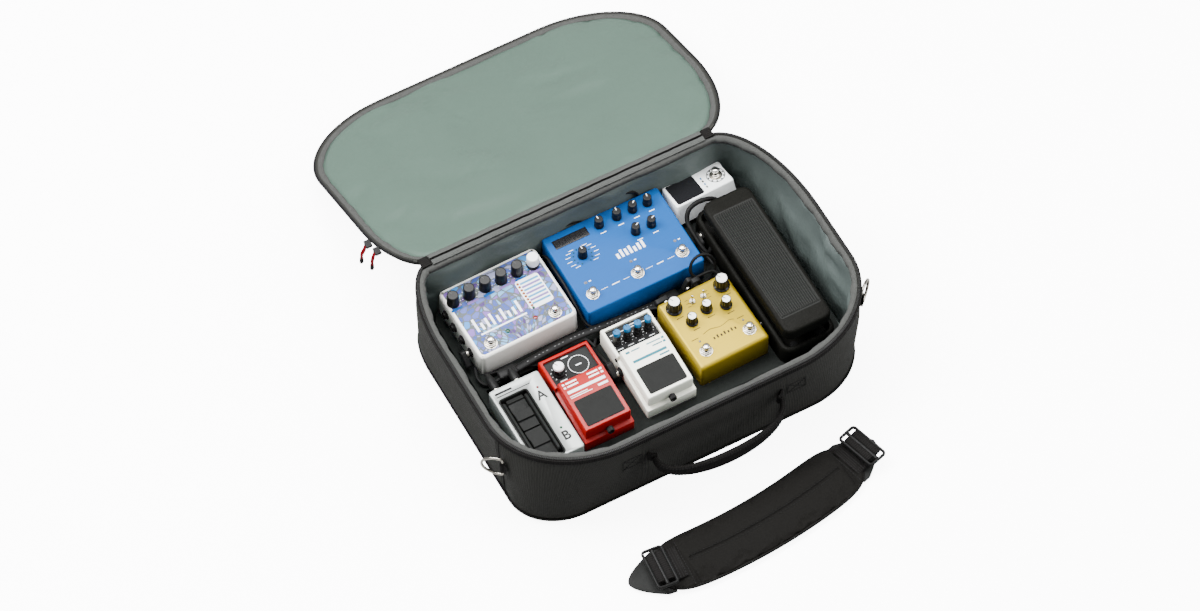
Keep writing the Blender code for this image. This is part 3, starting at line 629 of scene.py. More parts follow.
def lid_ring(z, inset):
    """The lid's outline in its closed place, relative to the hinge line."""
    share = (CASE_HALF_Y - inset) / CASE_HALF_Y
    corners = (BACK_RIGHT_CORNER, BACK_LEFT_CORNER, FRONT_CORNER, FRONT_CORNER)
    radii = [[r * share for r in corner] for corner in corners]
    flat = outline(
        -CASE_HALF_X + inset + LID_INSET,
        CASE_HALF_X - inset - LID_INSET,
        -CASE_HALF_Y + inset,
        CASE_HALF_Y - inset,
        radii,
    )
    return [Vector((x, y - HINGE.y, z)) for x, y in flat]


def outward(ring, i):
    """The plan direction that points out of a ring at one of its points."""
    a = ring[i - 1]
    b = ring[(i + 1) % len(ring)]
    return Vector((b.y - a.y, a.x - b.x, 0.0)).normalized()


def seam_depth(point):
    """How deep the upright seams pull the cloth in at a point of the wall."""
    gaps = [abs(point.x - x) for x in SEAMS_X] if point.y < -0.15 else []
    if abs(point.x) > 0.2:
        gaps.append(abs(point.y - SEAM_Y))
    return sum(math.exp(-((gap / 0.0035) ** 2)) for gap in gaps)


def wall_sag(point):
    """Soft dents and puckers of the outer cloth, largest at mid height and beside the seams."""
    middle = math.sin(math.pi * min(1.0, max(0.0, point.z / CASE_HEIGHT)))
    broad = noise.noise(Vector((point.x * 9.0, point.y * 9.0, point.z * 12.0)))
    slant = noise.noise(Vector(((point.x + point.z) * 34.0, point.y * 30.0, (point.z - point.x) * 9.0)))
    return middle * (0.0026 * broad + 0.0009 * slant) - 0.0014 - 0.0016 * seam_depth(point)


def build_shell():
    """The outer nylon skin: one closed cloth shell with a base panel and pulled-in seams."""
    heights = [0.0, 0.0015, 0.004, 0.008, 0.014] + [0.014 + 0.0095 * k for k in range(1, 14)] + [0.1435]
    rings = []
    for z in heights:
        ring = case_ring(z)
        rings.append([p + outward(ring, i) * wall_sag(p) for i, p in enumerate(ring)])
    rings += [case_ring(z, 0.0042) for z in (0.1435, 0.1, 0.055, 0.014)]
    rings.append(case_ring(0.014, 0.0042, 0.006))
    bm = bmesh.new()
    loft(bm, rings)
    piece("case_shell", bm, NYLON, "case", smooth=55, node="case_base")


def ring_tube(bm, ring, profile):
    """A band whose cross-section (out, up) follows a ring; profile(i) may change it from point to point."""
    rows = []
    for i, point in enumerate(ring):
        out = outward(ring, i)
        rows.append([point + out * a + UP * b for a, b in (profile(i) if callable(profile) else profile)])
    loft(bm, rows, (False, False), cyclic=True)


def wall_spot(z, axis, value, side):
    """The outer cloth's point where x (axis 0) or y (axis 1) has this value, and its outward direction."""
    ring = case_ring(z)
    other = 1 - axis
    best = None
    for i, (a, b) in enumerate(zip(ring, ring[1:] + ring[:1])):
        if a[other] * side < 0.12 or (a[axis] - value) * (b[axis] - value) > 0.0 or a[axis] == b[axis]:
            continue
        spot = a.lerp(b, (value - a[axis]) / (b[axis] - a[axis]))
        out = outward(ring, i)
        if best is None or spot[other] * side > best[0][other] * side:
            best = (spot + out * wall_sag(spot), out)
    return best


def build_seams():
    """Piped upright seams with a stitched edge, and the piping round the base."""
    heights = [0.008 + 0.0093 * k for k in range(15)]
    bm = bmesh.new()
    seams = [(0, x, -1.0) for x in SEAMS_X] + [(1, SEAM_Y, -1.0), (1, SEAM_Y, 1.0)]
    for axis, value, side in seams:
        spots = [wall_spot(z, axis, value, side) for z in heights]
        out = spots[7][1]
        sweep(bm, [point + away * 0.0006 for point, away in spots], rounded_strip(0.0024, 0.0018), up=out)
        for shift in (-0.0045, 0.0045):
            beside = [wall_spot(z, axis, value + shift, side) for z in heights[1:-1]]
            stitches(bm, [point + away * 0.0003 for point, away in beside], normal=out)
    piece("case_seams", bm, THREAD, "case")
    bm = bmesh.new()
    ring_tube(bm, case_ring(0.0065), circle(0.0019, 8))
    piece("case_base_piping", bm, WEBBING, "case")


def rim_wave(i, size=0.0011):
    """The uneven inner edge of the felt binding."""
    return size * math.sin(i * 0.83) * math.sin(i * 0.31 + 1.0) + size * 0.6 * math.sin(i * 2.1)


def ring_stitches(name, ring, out, rise, look, length, gap, body, place=IDENTITY):
    """A row of stitches that follows a ring, moved outward and up from it."""
    line = [p + outward(ring, i) * out + UP * rise for i, p in enumerate(ring)]
    bm = bmesh.new()
    stitches(bm, line + line[:1], length, gap, 0.0003)
    piece(name, bm, look, body, place)


def zip_teeth(name, ring, inset, rise, at_hinge, body, place=IDENTITY):
    """The zip's teeth along a ring, left out along the hinge."""
    bm = bmesh.new()
    for point, forward in along_ring(ring, 0.0022):
        if at_hinge(point):
            continue
        out = Vector((forward.y, -forward.x, 0.0))
        turn = Matrix((forward, out, UP)).transposed().to_4x4()
        spot = Matrix.Translation(point - out * inset + UP * rise)
        box(bm, (0.0013, 0.0026, 0.0016), (0.0, 0.0, 0.0), spot @ turn)
    piece(name, bm, ZIP_TEETH, body, place, smooth=0)


def rim_profile(i):
    """The felt binding's cross-section, rolled over the padded rim."""
    wave = rim_wave(i)
    lip = 0.0105 + wave
    return (
        (-0.0044, -0.006), (-0.0042, -0.0022), (-0.0052, -0.0014), (-0.0074, -0.0006 + wave * 0.3),
        (-0.0095, -0.0012), (-lip - 0.0012, -0.0028), (-lip - 0.0018, -0.006), (-lip - 0.0006, -0.011),
        (-lip + 0.001, -0.0115), (-lip + 0.0012, -0.0055), (-0.0074, -0.004), (-0.0052, -0.0055),
    )


def in_hinge_gap(point):
    """Whether a point of the rim lies along the hinge."""
    return point.y > HINGE.y - 0.003 and -0.225 < point.x < 0.197


def build_rim():
    """The rim: zip tape and teeth outside, grey felt binding rolled over the padded edge."""
    top = case_ring(CASE_HEIGHT)
    bm = bmesh.new()
    ring_tube(bm, top, rim_profile)
    piece("case_rim_binding", bm, FELT, "case", smooth=60)
    ring_stitches("case_rim_stitches", top, -0.0082, -0.0007, GREY_THREAD, 0.0022, 0.003, "case")
    bm = bmesh.new()
    ring_tube(bm, top, ((0.0004, -0.0125), (0.0016, -0.0095), (0.0012, -0.0026), (-0.0014, -0.0016),
                        (-0.0048, -0.0018), (-0.0044, -0.011)))
    piece("case_zip_tape", bm, WEBBING, "case", smooth=60)
    zip_teeth("case_zip_teeth", top, 0.002, -0.001, in_hinge_gap, "case")
    ring_stitches("case_zip_stitches", top, 0.0006, -0.0112, THREAD, 0.0026, 0.0016, "case")


def fold_cloth(obj, pinned, pressure, shrink, frames, cap, stiff=6.0, backing=None):
    """Lets a cloth piece swell and wrinkle between pinned points, then keeps the result.

    backing(point) gives the direction of the board or foam behind it, which it can't move into.
    """
    obj.vertex_groups.new(name="pinned").add(pinned, 1.0, "REPLACE")
    start = [vert.co.copy() for vert in obj.data.vertices]
    cloth = obj.modifiers.new("cloth", "CLOTH")
    settings = {
        "quality": 5,
        "mass": 0.15,
        "tension_stiffness": stiff,
        "compression_stiffness": stiff,
        "shear_stiffness": stiff * 0.5,
        "bending_stiffness": 0.08,
        "air_damping": 3.0,
        "vertex_group_mass": "pinned",
        "shrink_min": shrink,
        "use_pressure": pressure != 0.0,
        "uniform_pressure_force": pressure,
    }
    for key, value in settings.items():
        setattr(cloth.settings, key, value)
    cloth.settings.effector_weights.gravity = 0.0
    cloth.point_cache.frame_start = 1
    cloth.point_cache.frame_end = frames
    scene = bpy.context.scene
    for number in range(1, frames + 1):
        scene.frame_set(number)
    graph = bpy.context.evaluated_depsgraph_get()
    moved = [vert.co.copy() for vert in obj.evaluated_get(graph).data.vertices]
    obj.modifiers.remove(cloth)
    for vert, low, high in zip(obj.data.vertices, start, moved):
        shift = high - low
        if backing:
            behind = backing(low)
            shift -= behind * max(0.0, shift.dot(behind) - 0.0003)
        if shift.length > cap:
            shift *= cap / shift.length
        vert.co = low + shift
    scene.frame_set(1)
    obj.data.update()


def away_from_middle(point):
    """The plan direction that leads out of the case through the nearest wall."""
    return Vector(((point.x / CASE_HALF_X) ** 5, (point.y / CASE_HALF_Y) ** 5, 0.0)).normalized()


def fold_depth(point):
    """How far the loose wall lining hangs inward: upright folds that lean and split."""
    lean = point.z * 0.35
    folds = noise.noise(Vector((point.x * 24.0 + lean, point.y * 24.0 - lean, point.z * 5.0)))
    creases = abs(noise.noise(Vector((point.x * 60.0 - lean, point.y * 60.0, point.z * 16.0))))
    return 0.0012 + 0.0034 * max(-0.3, folds) + 0.0022 * creases


def thicken(obj, thickness):
    """Gives a sheet of cloth its thickness."""
    modifier = obj.modifiers.new("thickness", "SOLIDIFY")
    modifier.thickness = thickness
    modifier.offset = 0.0


def build_wall_lining():
    """The lining of the walls hangs loose between the rim and the floor, so it folds."""
    heights = [0.012 + 0.0081 * k for k in range(16)]
    rings = []
    for z in heights:
        ring = case_ring(z, CASE_WALL - 0.0004)
        share = math.sin(math.pi * (z - heights[0]) / (heights[-1] - heights[0]))
        rings.append([p - outward(ring, i) * share * fold_depth(p) for i, p in enumerate(ring)])
    bm = bmesh.new()
    loft(bm, rings, (False, False))
    lining = piece("case_wall_lining", bm, LINING_PAINTED_LIGHTER, "", smooth=0)
    lining.data.shade_smooth()
    count = len(rings[0])
    pinned = list(range(count)) + list(range(count * (len(rings) - 1), count * len(rings)))
    for column, p in enumerate(rings[8]):
        back_seam = p.y > 0.1 and min(abs(p.x + 0.215), abs(p.x - 0.185)) < 0.005
        if seam_depth(p) > 0.8 or back_seam:
            pinned += [column + count * k for k in range(len(rings))]
    fold_cloth(lining, pinned, 0.0, -0.045, 16, 0.0055, backing=away_from_middle)
    thicken(lining, 0.0014)
    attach(lining, "case")


def build_floor_lining():
    """The flat lining under the deck."""
    bm = bmesh.new()
    loft(bm, [case_ring(0.014, CASE_WALL - 0.001, CASE_FLOOR + rise) for rise in (0.0, 0.0022)])
    piece("case_floor_lining", bm, LINING_PAINTED_LIGHTER, "case")


def build_stitched_tabs():
    """Reinforced squares with a stitched cross beside the handle's two ends."""
    bm = bmesh.new()
    for x in (SEAMS_X[0] - 0.02, SEAMS_X[1] + 0.02):
        corners = []
        for dx, dz in ((-0.013, -0.01), (0.013, -0.01), (0.013, 0.01), (-0.013, 0.01)):
            point, direction = wall_spot(0.089 + dz, 0, x + dx, -1.0)
            corners.append(point + direction * 0.0006)
        a, b, c, d = corners
        for path in ([a, b, c, d, a], [a, c], [b, d]):
            stitches(bm, path, 0.0022, 0.0011, 0.00045, (0.0, -1.0, 0.0))
    piece("case_tab_stitches", bm, THREAD, "case")


# ---------------------------------------------------------------- the lid


def lid_lining_point(q, share, turn):
    """How far the lid's lining stands off its board: soft swell, creases and a puckered border."""
    inside = 1.0 - share**8
    soft = noise.noise(Vector((q.x * 9.0 + q.y * 5.0, q.y * 13.0, 0.5)))
    crease = abs(noise.noise(Vector((q.x * 7.0 - q.y * 16.0, q.y * 6.0 + q.x * 9.0, 2.5))))
    pucker = math.exp(-(1.0 - share) / 0.05) * math.sin(turn * 0.85)
    return q - UP * (0.0034 * inside + inside * (0.0011 * soft + 0.0009 * crease) + 0.0005 * pucker)


def build_lid_lining():
    """The lid's soft inner face: a cloth panel that puffs and wrinkles inside its binding."""
    border = lid_ring(0.0045, 0.0095)
    centre = Vector((0.0, -HINGE.y, 0.0045))
    shares = [1.0 - k / 26 for k in range(26)] + [0.012]
    rings = []
    for share in shares:
        shrunk = [centre + (p - centre) * share for p in border]
        rings.append([lid_lining_point(p, share, i) for i, p in enumerate(shrunk)])
    bm = bmesh.new()
    loft(bm, rings, (False, True))
    panel = piece("lid_lining", bm, LINING, "", smooth=0)
    panel.data.shade_smooth()
    count = len(border)
    pinned = list(range(count)) + list(range(count * 26, count * 27))
    fold_cloth(panel, pinned, 0.6, -0.014, 14, 0.0045, stiff=9.0, backing=lambda point: UP)
    thicken(panel, 0.0012)
    panel.matrix_world = LID_PLACE
    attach(panel, "case_lid")


def lid_profile(i):
    """The lid's puckered felt binding in cross-section."""
    pucker = rim_wave(i, 0.001)
    low = 0.0042 + 0.5 * pucker
    inner = -0.0125 - pucker
    return (
        (-0.0046, 0.0036), (-0.0048, 0.0012), (-0.0068, 0.0006 - pucker * 0.3), (-0.0095, 0.001),
        (inner, 0.0022), (inner - 0.0006, low), (inner + 0.0012, low + 0.0012), (-0.008, 0.0044),
    )


def build_lid():
    """The lid's board and outer nylon, its zip edge and its puckered felt binding."""
    levels = (
        (0.007, 0.011), (0.0015, 0.008), (0.0006, 0.003), (0.0012, 0.0004), (0.004, 0.0014),
        (0.008, 0.004), (0.0125, 0.007), (0.0165, 0.0115), (0.0188, 0.02), (0.0198, 0.034),
    )
    bm = bmesh.new()
    loft(bm, [lid_ring(z, inset) for z, inset in levels])
    piece("lid_shell", bm, NYLON, "case_lid", LID_PLACE, 60, "case_lid")
    edge = lid_ring(0.0, 0.0)
    bm = bmesh.new()
    ring_tube(bm, edge, lid_profile)
    piece("lid_binding", bm, FELT, "case_lid", LID_PLACE, 60)
    dash = (0.0022, 0.003)
    ring_stitches("lid_binding_stitches", edge, -0.0085, 0.0006, GREY_THREAD, *dash, "case_lid", LID_PLACE)
    bm = bmesh.new()
    ring_tube(bm, edge, ((-0.0048, 0.0022), (-0.0048, 0.0014), (-0.0014, 0.0012), (0.0012, 0.0016),
                         (0.0004, 0.0038), (-0.003, 0.0082), (-0.005, 0.0084)))
    piece("lid_zip_tape", bm, WEBBING, "case_lid", LID_PLACE, 60)
    zip_teeth("lid_zip_teeth", edge, 0.001, 0.001, lambda p: p.y > -0.012, "case_lid", LID_PLACE)


def at_hinge(obj):
    """Bakes the place of a piece of the sewn hinge into its mesh."""
    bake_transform(obj)


def build_hinge_tape(name, look, near, far, lift, rib):
    """One soft rib of tape along the hinge, dark where it meets the axis."""
    rows = []
    for i in range(91):
        x = -0.214 + 0.4 * i / 90
        wave = 0.0003 * math.sin(i * 0.7) + 0.0002 * math.sin(i * 1.9)
        path = []
        for k in range(9):
            y = near + (far - near) * k / 8
            height = lift + rib * math.sin(math.pi * k / 8) - max(0.0, y) * math.tan(LID_TILT) + wave
            path.append((x, HINGE.y + y, HINGE.z + height))
        path += [(x, y, z - 0.0012) for x, y, z in reversed(path)]
        rows.append(path)
    bm = bmesh.new()
    loft(bm, rows)
    for face in bm.faces:
        face.material_index = 1 if abs(face.calc_center_median().y - HINGE.y) < 0.0022 else 0
    at_hinge(piece(name, bm, [look, WEBBING], "", smooth=60))


def build_gusset():
    """The sewn hinge: two soft ribs of grey tape and a cover that join the rim to the lid."""
    build_hinge_tape("hinge_tape_case", GUSSET, -0.0092, -0.0012, 0.0014, 0.001)
    build_hinge_tape("hinge_tape_lid", GUSSET, 0.0006, 0.0092, 0.0014, 0.001)
    build_hinge_tape("hinge_cover", NYLON, -0.0046, 0.0046, -0.003, 0.0)
    bm = bmesh.new()
    for x in (-0.222, 0.194):
        rows = []
        for k in range(7):
            share = k / 6
            spot = Vector((x, HINGE.y - 0.008 + 0.016 * share, HINGE.z + 0.0006 - 0.003 * share))
            rows.append([spot + Vector((a, 0.0, b)) for a, b in rounded_strip(0.014, 0.003)])
        loft(bm, rows)
    at_hinge(piece("hinge_zip_ends", bm, WEBBING, ""))


# ---------------------------------------------------------------- handle and rings


def build_zip_pull(node, lean):
    """A metal slider on the lid's zip, with a red cord loop and a black end."""
    pivot = joint_spot(node + "_swing")
    place = Matrix.Translation(pivot)
    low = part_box(node)[0].z - pivot.z
    bm = bmesh.new()
    box(bm, (0.0085, 0.0115, 0.003), (-0.004, 0.0, 0.0016))
    box(bm, (0.0085, 0.0095, 0.0018), (-0.004, 0.0, -0.0022))
    box(bm, (0.003, 0.005, 0.004), (-0.007, 0.0, 0.0))
    slider = piece(node + "_slider", bm, ZIP_TEETH, node, place, node=node)
    bevelled(slider, 0.0009, 3)
    bm = bmesh.new()
    for dy in (-0.0016, 0.0016):
        path = [(-0.0075, dy * 0.6, 0.0005), (-0.01, dy, -0.008), (-lean, dy + 0.001, -0.018)]
        path.append((-lean - 0.0006, dy * 0.7 + 0.0018, low + 0.014))
        sweep(bm, smooth_path(path, 5), circle(0.0013, 10), up=BACKWARD)
    piece(node + "_cord", bm, RED_CORD, node, place)
    bm = bmesh.new()
    top = Vector((-lean - 0.0004, 0.0016, low + 0.0165))
    tip = Vector((-lean - 0.0008, 0.002, low + 0.0006))
    sizes = (0.62, 0.86, 0.95, 0.97, 1.0, 1.02, 1.0, 0.85, 0.35)
    path = [top.lerp(tip, k / 8) for k in range(9)]
    sweep(bm, path, circle(0.0029, 14, 0.75), up=BACKWARD, scale=lambda t: sizes[round(t * 8)])
    piece(node + "_tag", bm, BLACK_PLASTIC, node, place)


def handle_web(step):
    """Half the handle band's width, narrower towards its ends."""
    return 0.012 * (0.42 + 0.58 * math.sin(math.pi * step / HANDLE_STEPS) ** 0.7)


def handle_point(half, step, depth, across):
    """A point of the band's cross-section, which leans outward along the arch."""
    turn = math.pi * step / HANDLE_STEPS
    lean = 0.5 * math.sqrt(max(0.0, math.sin(turn)))
    spun = Matrix.Rotation(lean, 2) @ Vector((depth, across))
    arch = Vector((-half * math.cos(turn), -0.039 * math.sin(turn) ** 0.8, 0.0))
    return arch + Vector((-math.cos(turn), -math.sin(turn), 0.0)) * spun.x + UP * spun.y


def build_handle():
    """A folded, stitched webbing band that arches out of the front seams."""
    pivot = joint_spot("carry_handle_swing")
    low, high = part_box("carry_handle")
    half = (high.x - low.x) / 2 - 0.003
    place = Matrix.Translation(pivot) @ Matrix.Rotation(math.radians(24.0), 4, "X")
    rings = []
    for step in range(HANDLE_STEPS + 1):
        strip = rounded_strip(2.0 * handle_web(step), 0.0066, 0.0004)
        rings.append([handle_point(half, step, b, a) for a, b in strip])
    bm = bmesh.new()
    loft(bm, rings)
    band = piece("handle_band", bm, WEBBING, "", place, smooth=60)
    bm = bmesh.new()
    for share in (-0.72, 0.72):
        stitches(bm, [handle_point(half, step, 0.0035, share * handle_web(step)) for step in range(4, 45)])
    threads = piece("handle_stitches", bm, THREAD, "", place)
    for obj in (band, threads):
        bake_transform(obj)
    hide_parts("carry_handle")
    bm = bmesh.new()
    for side in (-1.0, 1.0):
        root = pivot + Vector((side * half, 0.0, 0.0))
        bends = ((side * 0.006, 0.007), (side * 0.001, 0.002), (-side * 0.004, -0.0006))
        path = [root + Vector((x, y, 0.0)) for x, y in bends]
        sweep(bm, smooth_path(path, 4), rounded_strip(0.0046, 0.017))
    piece("handle_roots", bm, WEBBING, "case")


def build_ring_loop(node, side, bar):
    """The folded webbing loop that holds a ring at the side seam."""
    tab = []
    reach = 0.0032
    for k in range(16):
        turn = math.pi * 2 * k / 16
        spot = Vector((side * reach * math.cos(turn), reach * math.sin(turn), 0.0))
        if math.cos(turn) < 0.0:
            spot.y = math.copysign(reach + 0.0045 * -math.cos(turn), math.sin(turn) + 1e-6)
            spot.x = side * (-0.0022 * -math.cos(turn))
        tab.append(spot)
    rings = []
    for z, grow in ((-0.0118, 0.75), (-0.011, 0.95), (0.0, 1.0), (0.011, 0.95), (0.0118, 0.75)):
        rings.append([bar + Vector((p.x * grow, p.y * grow, z * 0.92)) for p in tab])
    bm = bmesh.new()
    loft(bm, rings)
    piece(node + "_loop", bm, WEBBING, "case", smooth=60)


def build_ring(node, side):
    """A nickel D-ring that hangs in its webbing loop."""
    bar = joint_spot(node + "_swing")
    place = Matrix.Translation(bar) @ Matrix.Rotation(side * math.radians(42.0), 4, "Z")
    half = 0.0168
    points = [Vector((0.0, 0.0, z)) for z in (-half, -half / 3, half / 3, half)]
    for i in range(1, 16):
        turn = math.pi / 2 - math.pi * i / 16
        points.append(Vector((side * (0.004 + 0.0232 * math.cos(turn)), 0.0, 0.0187 * math.sin(turn))))
    bm = bmesh.new()
    sweep(bm, smooth_path(points, 5, True), circle(0.0019, 14), up=BACKWARD, closed=True)
    piece(node + "_wire", bm, NICKEL, node, place, 60, node)
    build_ring_loop(node, side, bar)


# ---------------------------------------------------------------- shoulder strap

STRAP_PLACE = Matrix.Translation((0.01, -0.295, 0.0)) @ Matrix.Rotation(math.radians(5.0), 4, "Z")
STRAP_HALF = 0.191
STRAP_BOW = 0.024


def strap_point(share, across, z):
    """A point of the strap: share runs from -1 at the left tip to 1 at the right."""
    x = STRAP_HALF * share
    slope = 2.0 * STRAP_BOW * share / STRAP_HALF
    normal = Vector((-slope, 1.0, 0.0)).normalized()
    return Vector((x, STRAP_BOW * share**2, z)) + normal * across


def pad_half(share):
    """Half the padded part's width: full in the middle, waisted shoulders at the ends."""
    reach = min(1.0, abs(share) / 0.8)
    return 0.0385 * math.sqrt(max(0.0, 1.0 - reach**9)) + 0.0006


PAD_SECTION = (
    (-1.0, 0.0052), (-0.9, 0.0032), (0.0, 0.003), (0.9, 0.0032), (1.0, 0.0052),
    (0.9, 0.0085), (0.45, 0.0098), (0.0, 0.0098), (-0.45, 0.0098), (-0.9, 0.0085),
)


def swollen_pad():
    """The padded part as one fine mesh, blown up as cloth."""
    rings = []
    for i in range(61):
        share = -0.8 + 1.6 * i / 60
        half = max(0.006, pad_half(share) + 0.0018)
        rings.append([strap_point(share, a * half, z) for a, z in PAD_SECTION])
    bm = bmesh.new()
    loft(bm, rings)
    pad = piece("strap_padding", bm, PAD_FABRIC, "", smooth=0)
    remesh = pad.modifiers.new("remesh", "REMESH")
    remesh.mode = "VOXEL"
    remesh.voxel_size = 0.0032
    swollen = evaluated_mesh(pad)
    pad.modifiers.clear()
    pad.data = swollen
    pad.data.materials.clear()
    pad.data.materials.append(PAD_FABRIC.material)
    resting = [vert.index for vert in pad.data.vertices if vert.co.z < 0.0034]
    fold_cloth(pad, resting, 3.0, -0.02, 16, 0.003, stiff=12.0)
    bm = bmesh.new()
    bm.from_mesh(pad.data)
    bmesh.ops.subdivide_edges(bm, edges=bm.edges, cuts=1, use_grid_fill=True, smooth=0.3)
    bm.to_mesh(pad.data)
    bm.free()
    return pad


def channel_depth(share, across):
    """How deep the sewn channels draw the padding in."""
    depths = [0.0026 * math.exp(-(((share - cross) * STRAP_HALF / 0.002) ** 2)) for cross in (-0.6, 0.7)]
    if -0.56 < share < 0.66:
        depths.append(0.0034 * math.exp(-((across / 0.0026) ** 2)))
    return max(depths)


def build_pad():
    """The padded part, drawn in along its sewn channels."""
    pad = swollen_pad()
    for vert in pad.data.vertices:
        if vert.co.z < 0.005:
            vert.co.z = max(vert.co.z, 0.0012)
            continue
        share = vert.co.x / STRAP_HALF
        middle = strap_point(share, 0.0, vert.co.z)
        across = (vert.co - middle).dot(strap_point(share, 1.0, vert.co.z) - middle)
        dip = channel_depth(share, across) + 0.0006 * noise.noise(vert.co * 55.0)
        vert.co.z = min(vert.co.z - dip, 0.0142)
    pad.data.shade_smooth()
    pad.matrix_world = STRAP_PLACE
    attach(pad, "strap")
    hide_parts("strap_pad")
    return pad


def pad_surface(pad):
    """A function that gives the point on top of the padding."""
    surface = BVHTree.FromPolygons([v.co for v in pad.data.vertices], [p.vertices for p in pad.data.polygons])

    def lie(share, across):
        point = strap_point(share, across, 0.03)
        hit = surface.ray_cast(point, -UP)[0]
        return Vector((point.x, point.y, (hit.z if hit else 0.006) + 0.0003))

    return lie


def build_strap_edging():
    """Turned binding round the pad."""
    path = []
    for side in (1.0, -1.0):
        for i in range(81):
            share = side * (-0.8 + 1.6 * i / 80)
            path.append(strap_point(share, side * (pad_half(share) - 0.0004), 0.005))
    bm = bmesh.new()
    sweep(bm, smooth_path(path, 2, True), rounded_strip(0.0046, 0.0044), closed=True)
    piece("strap_edging", bm, WEBBING, "strap", STRAP_PLACE, smooth=60)


def build_strap_stitches(lie):
    """The stitched channels along and across the padding."""
    bm = bmesh.new()
    for across in (-0.003, 0.003):
        stitches(bm, [lie(-0.56 + 1.22 * i / 60, across) for i in range(61)], radius=0.0004)
    for share in (-0.605, 0.705):
        half = pad_half(share) - 0.003
        stitches(bm, [lie(share, half * (-1.0 + k / 8)) for k in range(17)], radius=0.0005)
    piece("strap_stitches", bm, THREAD, "strap", STRAP_PLACE)


def build_strap_ends(lie):
    """The webbing that is sewn over both ends of the pad."""
    panels = bmesh.new()
    threads = bmesh.new()
    for low, high in ((-0.79, -0.622), (0.722, 0.855)):
        rows = []
        for k in range(13):
            share = low + (high - low) * k / 12
            top = max(lie(share, 0.0).z, 0.0092)
            rows.append([strap_point(share, a, top + b) for a, b in rounded_strip(0.046, 0.0022)])
        loft(panels, rows)
        for share in (low + 0.01, low + 0.055, high - 0.055, high - 0.01):
            if abs(share) < 0.79:
                top = max(lie(share, 0.0).z, 0.0092) + 0.0013
                stitches(threads, [strap_point(share, a, top) for a in (-0.021, 0.0, 0.021)], radius=0.0005)
    piece("strap_end_webbing", panels, WEBBING, "strap", STRAP_PLACE, smooth=60)
    piece("strap_end_stitches", threads, THREAD, "strap", STRAP_PLACE)


def tip_ring(side, height, shrink):
    """One level of the pointed tab at an end of the strap."""
    inner = 0.775
    half = 0.0335 - shrink
    ring = []
    for k in range(25):
        across = math.sin(-math.pi / 2 + math.pi * k / 24)
        reach = inner + (0.998 - inner) * (1.0 - abs(across) ** 1.7) - shrink / STRAP_HALF
        ring.append(strap_point(side * reach, across * half, height))
    return ring + [strap_point(side * (inner - 0.05), across, height) for across in (half, -half)]


def build_strap_tips():
    """The pointed stiff tabs under the buckles."""
    bm = bmesh.new()
    levels = ((0.001, 0.0012), (0.0016, 0.0), (0.004, 0.0), (0.0046, 0.0012))
    for side in (-1.0, 1.0):
        loft(bm, [tip_ring(side, height, shrink) for height, shrink in levels])
    piece("strap_tips", bm, PAD_RUBBER, "strap", STRAP_PLACE, smooth=50)


def build_buckle(node, side, share):
    """A ladder buckle: a moulded frame with its bar, and the webbing wound round it."""
    slope = math.atan(2.0 * STRAP_BOW * share / STRAP_HALF)
    spot = strap_point(share, 0.0, 0.0149)
    place = STRAP_PLACE @ Matrix.Translation(spot) @ Matrix.Rotation(slope, 4, "Z")
    loop = []
    for sx, sy in ((1.0, 1.0), (-1.0, 1.0), (-1.0, -1.0), (1.0, -1.0)):
        corner = Vector((side * 0.015 + sx * 0.0095, sy * 0.0245, 0.003))
        for k in range(5):
            turn = math.atan2(sy, sx) - math.pi / 4 + math.pi / 2 * k / 4
            loop.append(corner + Vector((0.0038 * math.cos(turn), 0.0038 * math.sin(turn), 0.0)))
    bm = bmesh.new()
    sweep(bm, loop, rounded_strip(0.0036, 0.0052), closed=True)
    sweep(bm, [(side * 0.015, y, 0.0032) for y in (-0.026, 0.0, 0.026)], rounded_strip(0.005, 0.004))
    piece(node + "_frame", bm, BLACK_PLASTIC, node, place, 50, node)
    bm = bmesh.new()
    for x in (0.0085, 0.0215):
        rows = []
        for y in (-0.0215, -0.0207, -0.01, 0.0, 0.01, 0.0207, 0.0215):
            shrink = 0.82 if abs(y) > 0.021 else 1.0
            strip = rounded_strip(0.011, 0.005, 0.0006)
            rows.append([Vector((side * x + a * shrink, y, 0.0036 + b * shrink)) for a, b in strip])
        loft(bm, rows)
    piece(node + "_webbing", bm, WEBBING, node, place, 60)


# ---------------------------------------------------------------- pedals

DECK_TOP = 0.055


def pedal_place(x, y, degrees=0.0):
    """Where a pedal stands on the deck."""
    return Matrix.Translation((x, y, DECK_TOP)) @ Matrix.Rotation(math.radians(degrees), 4, "Z")


REVERB = pedal_place(-0.143, 0.1075, 1.1)
MODULATION = pedal_place(0.025, 0.1045)
DRIVE = pedal_place(0.0755, -0.0454, 1.6)
DELAY = pedal_place(-0.022, -0.049)
LOOPER = pedal_place(-0.115, -0.053)
FOOTSWITCH = pedal_place(-0.193, -0.0645)
WAH = pedal_place(0.175, -0.006)
TUNER = Matrix.Translation((0.162, 0.145, 0.0594)) @ Euler(
    (math.radians(-10.0), 0.0, math.radians(2.0))
).to_matrix().to_4x4()


def casing(name, size, corner, edge, look, place, taper=0.0):
    """A pedal's body: a box with rounded upright corners and soft top and bottom edges."""
    width, depth, height = size
    rows = [(GAP, 0.0006), (GAP + 0.0006, 0.0), (height - edge, taper)]
    for k in range(1, 6):
        turn = math.pi / 2 * k / 5
        rows.append((height - edge + edge * math.sin(turn), taper + edge * (1.0 - math.cos(turn))))
    span = about((0.0, 0.0), width / 2, depth / 2)
    bm = bmesh.new()
    loft(bm, [level(span, max(corner - inset * 0.7, 0.0012), z, inset, (6, 4)) for z, inset in rows])
    return piece(name + "_body", bm, look, "case", place, 50, name + "_casing")


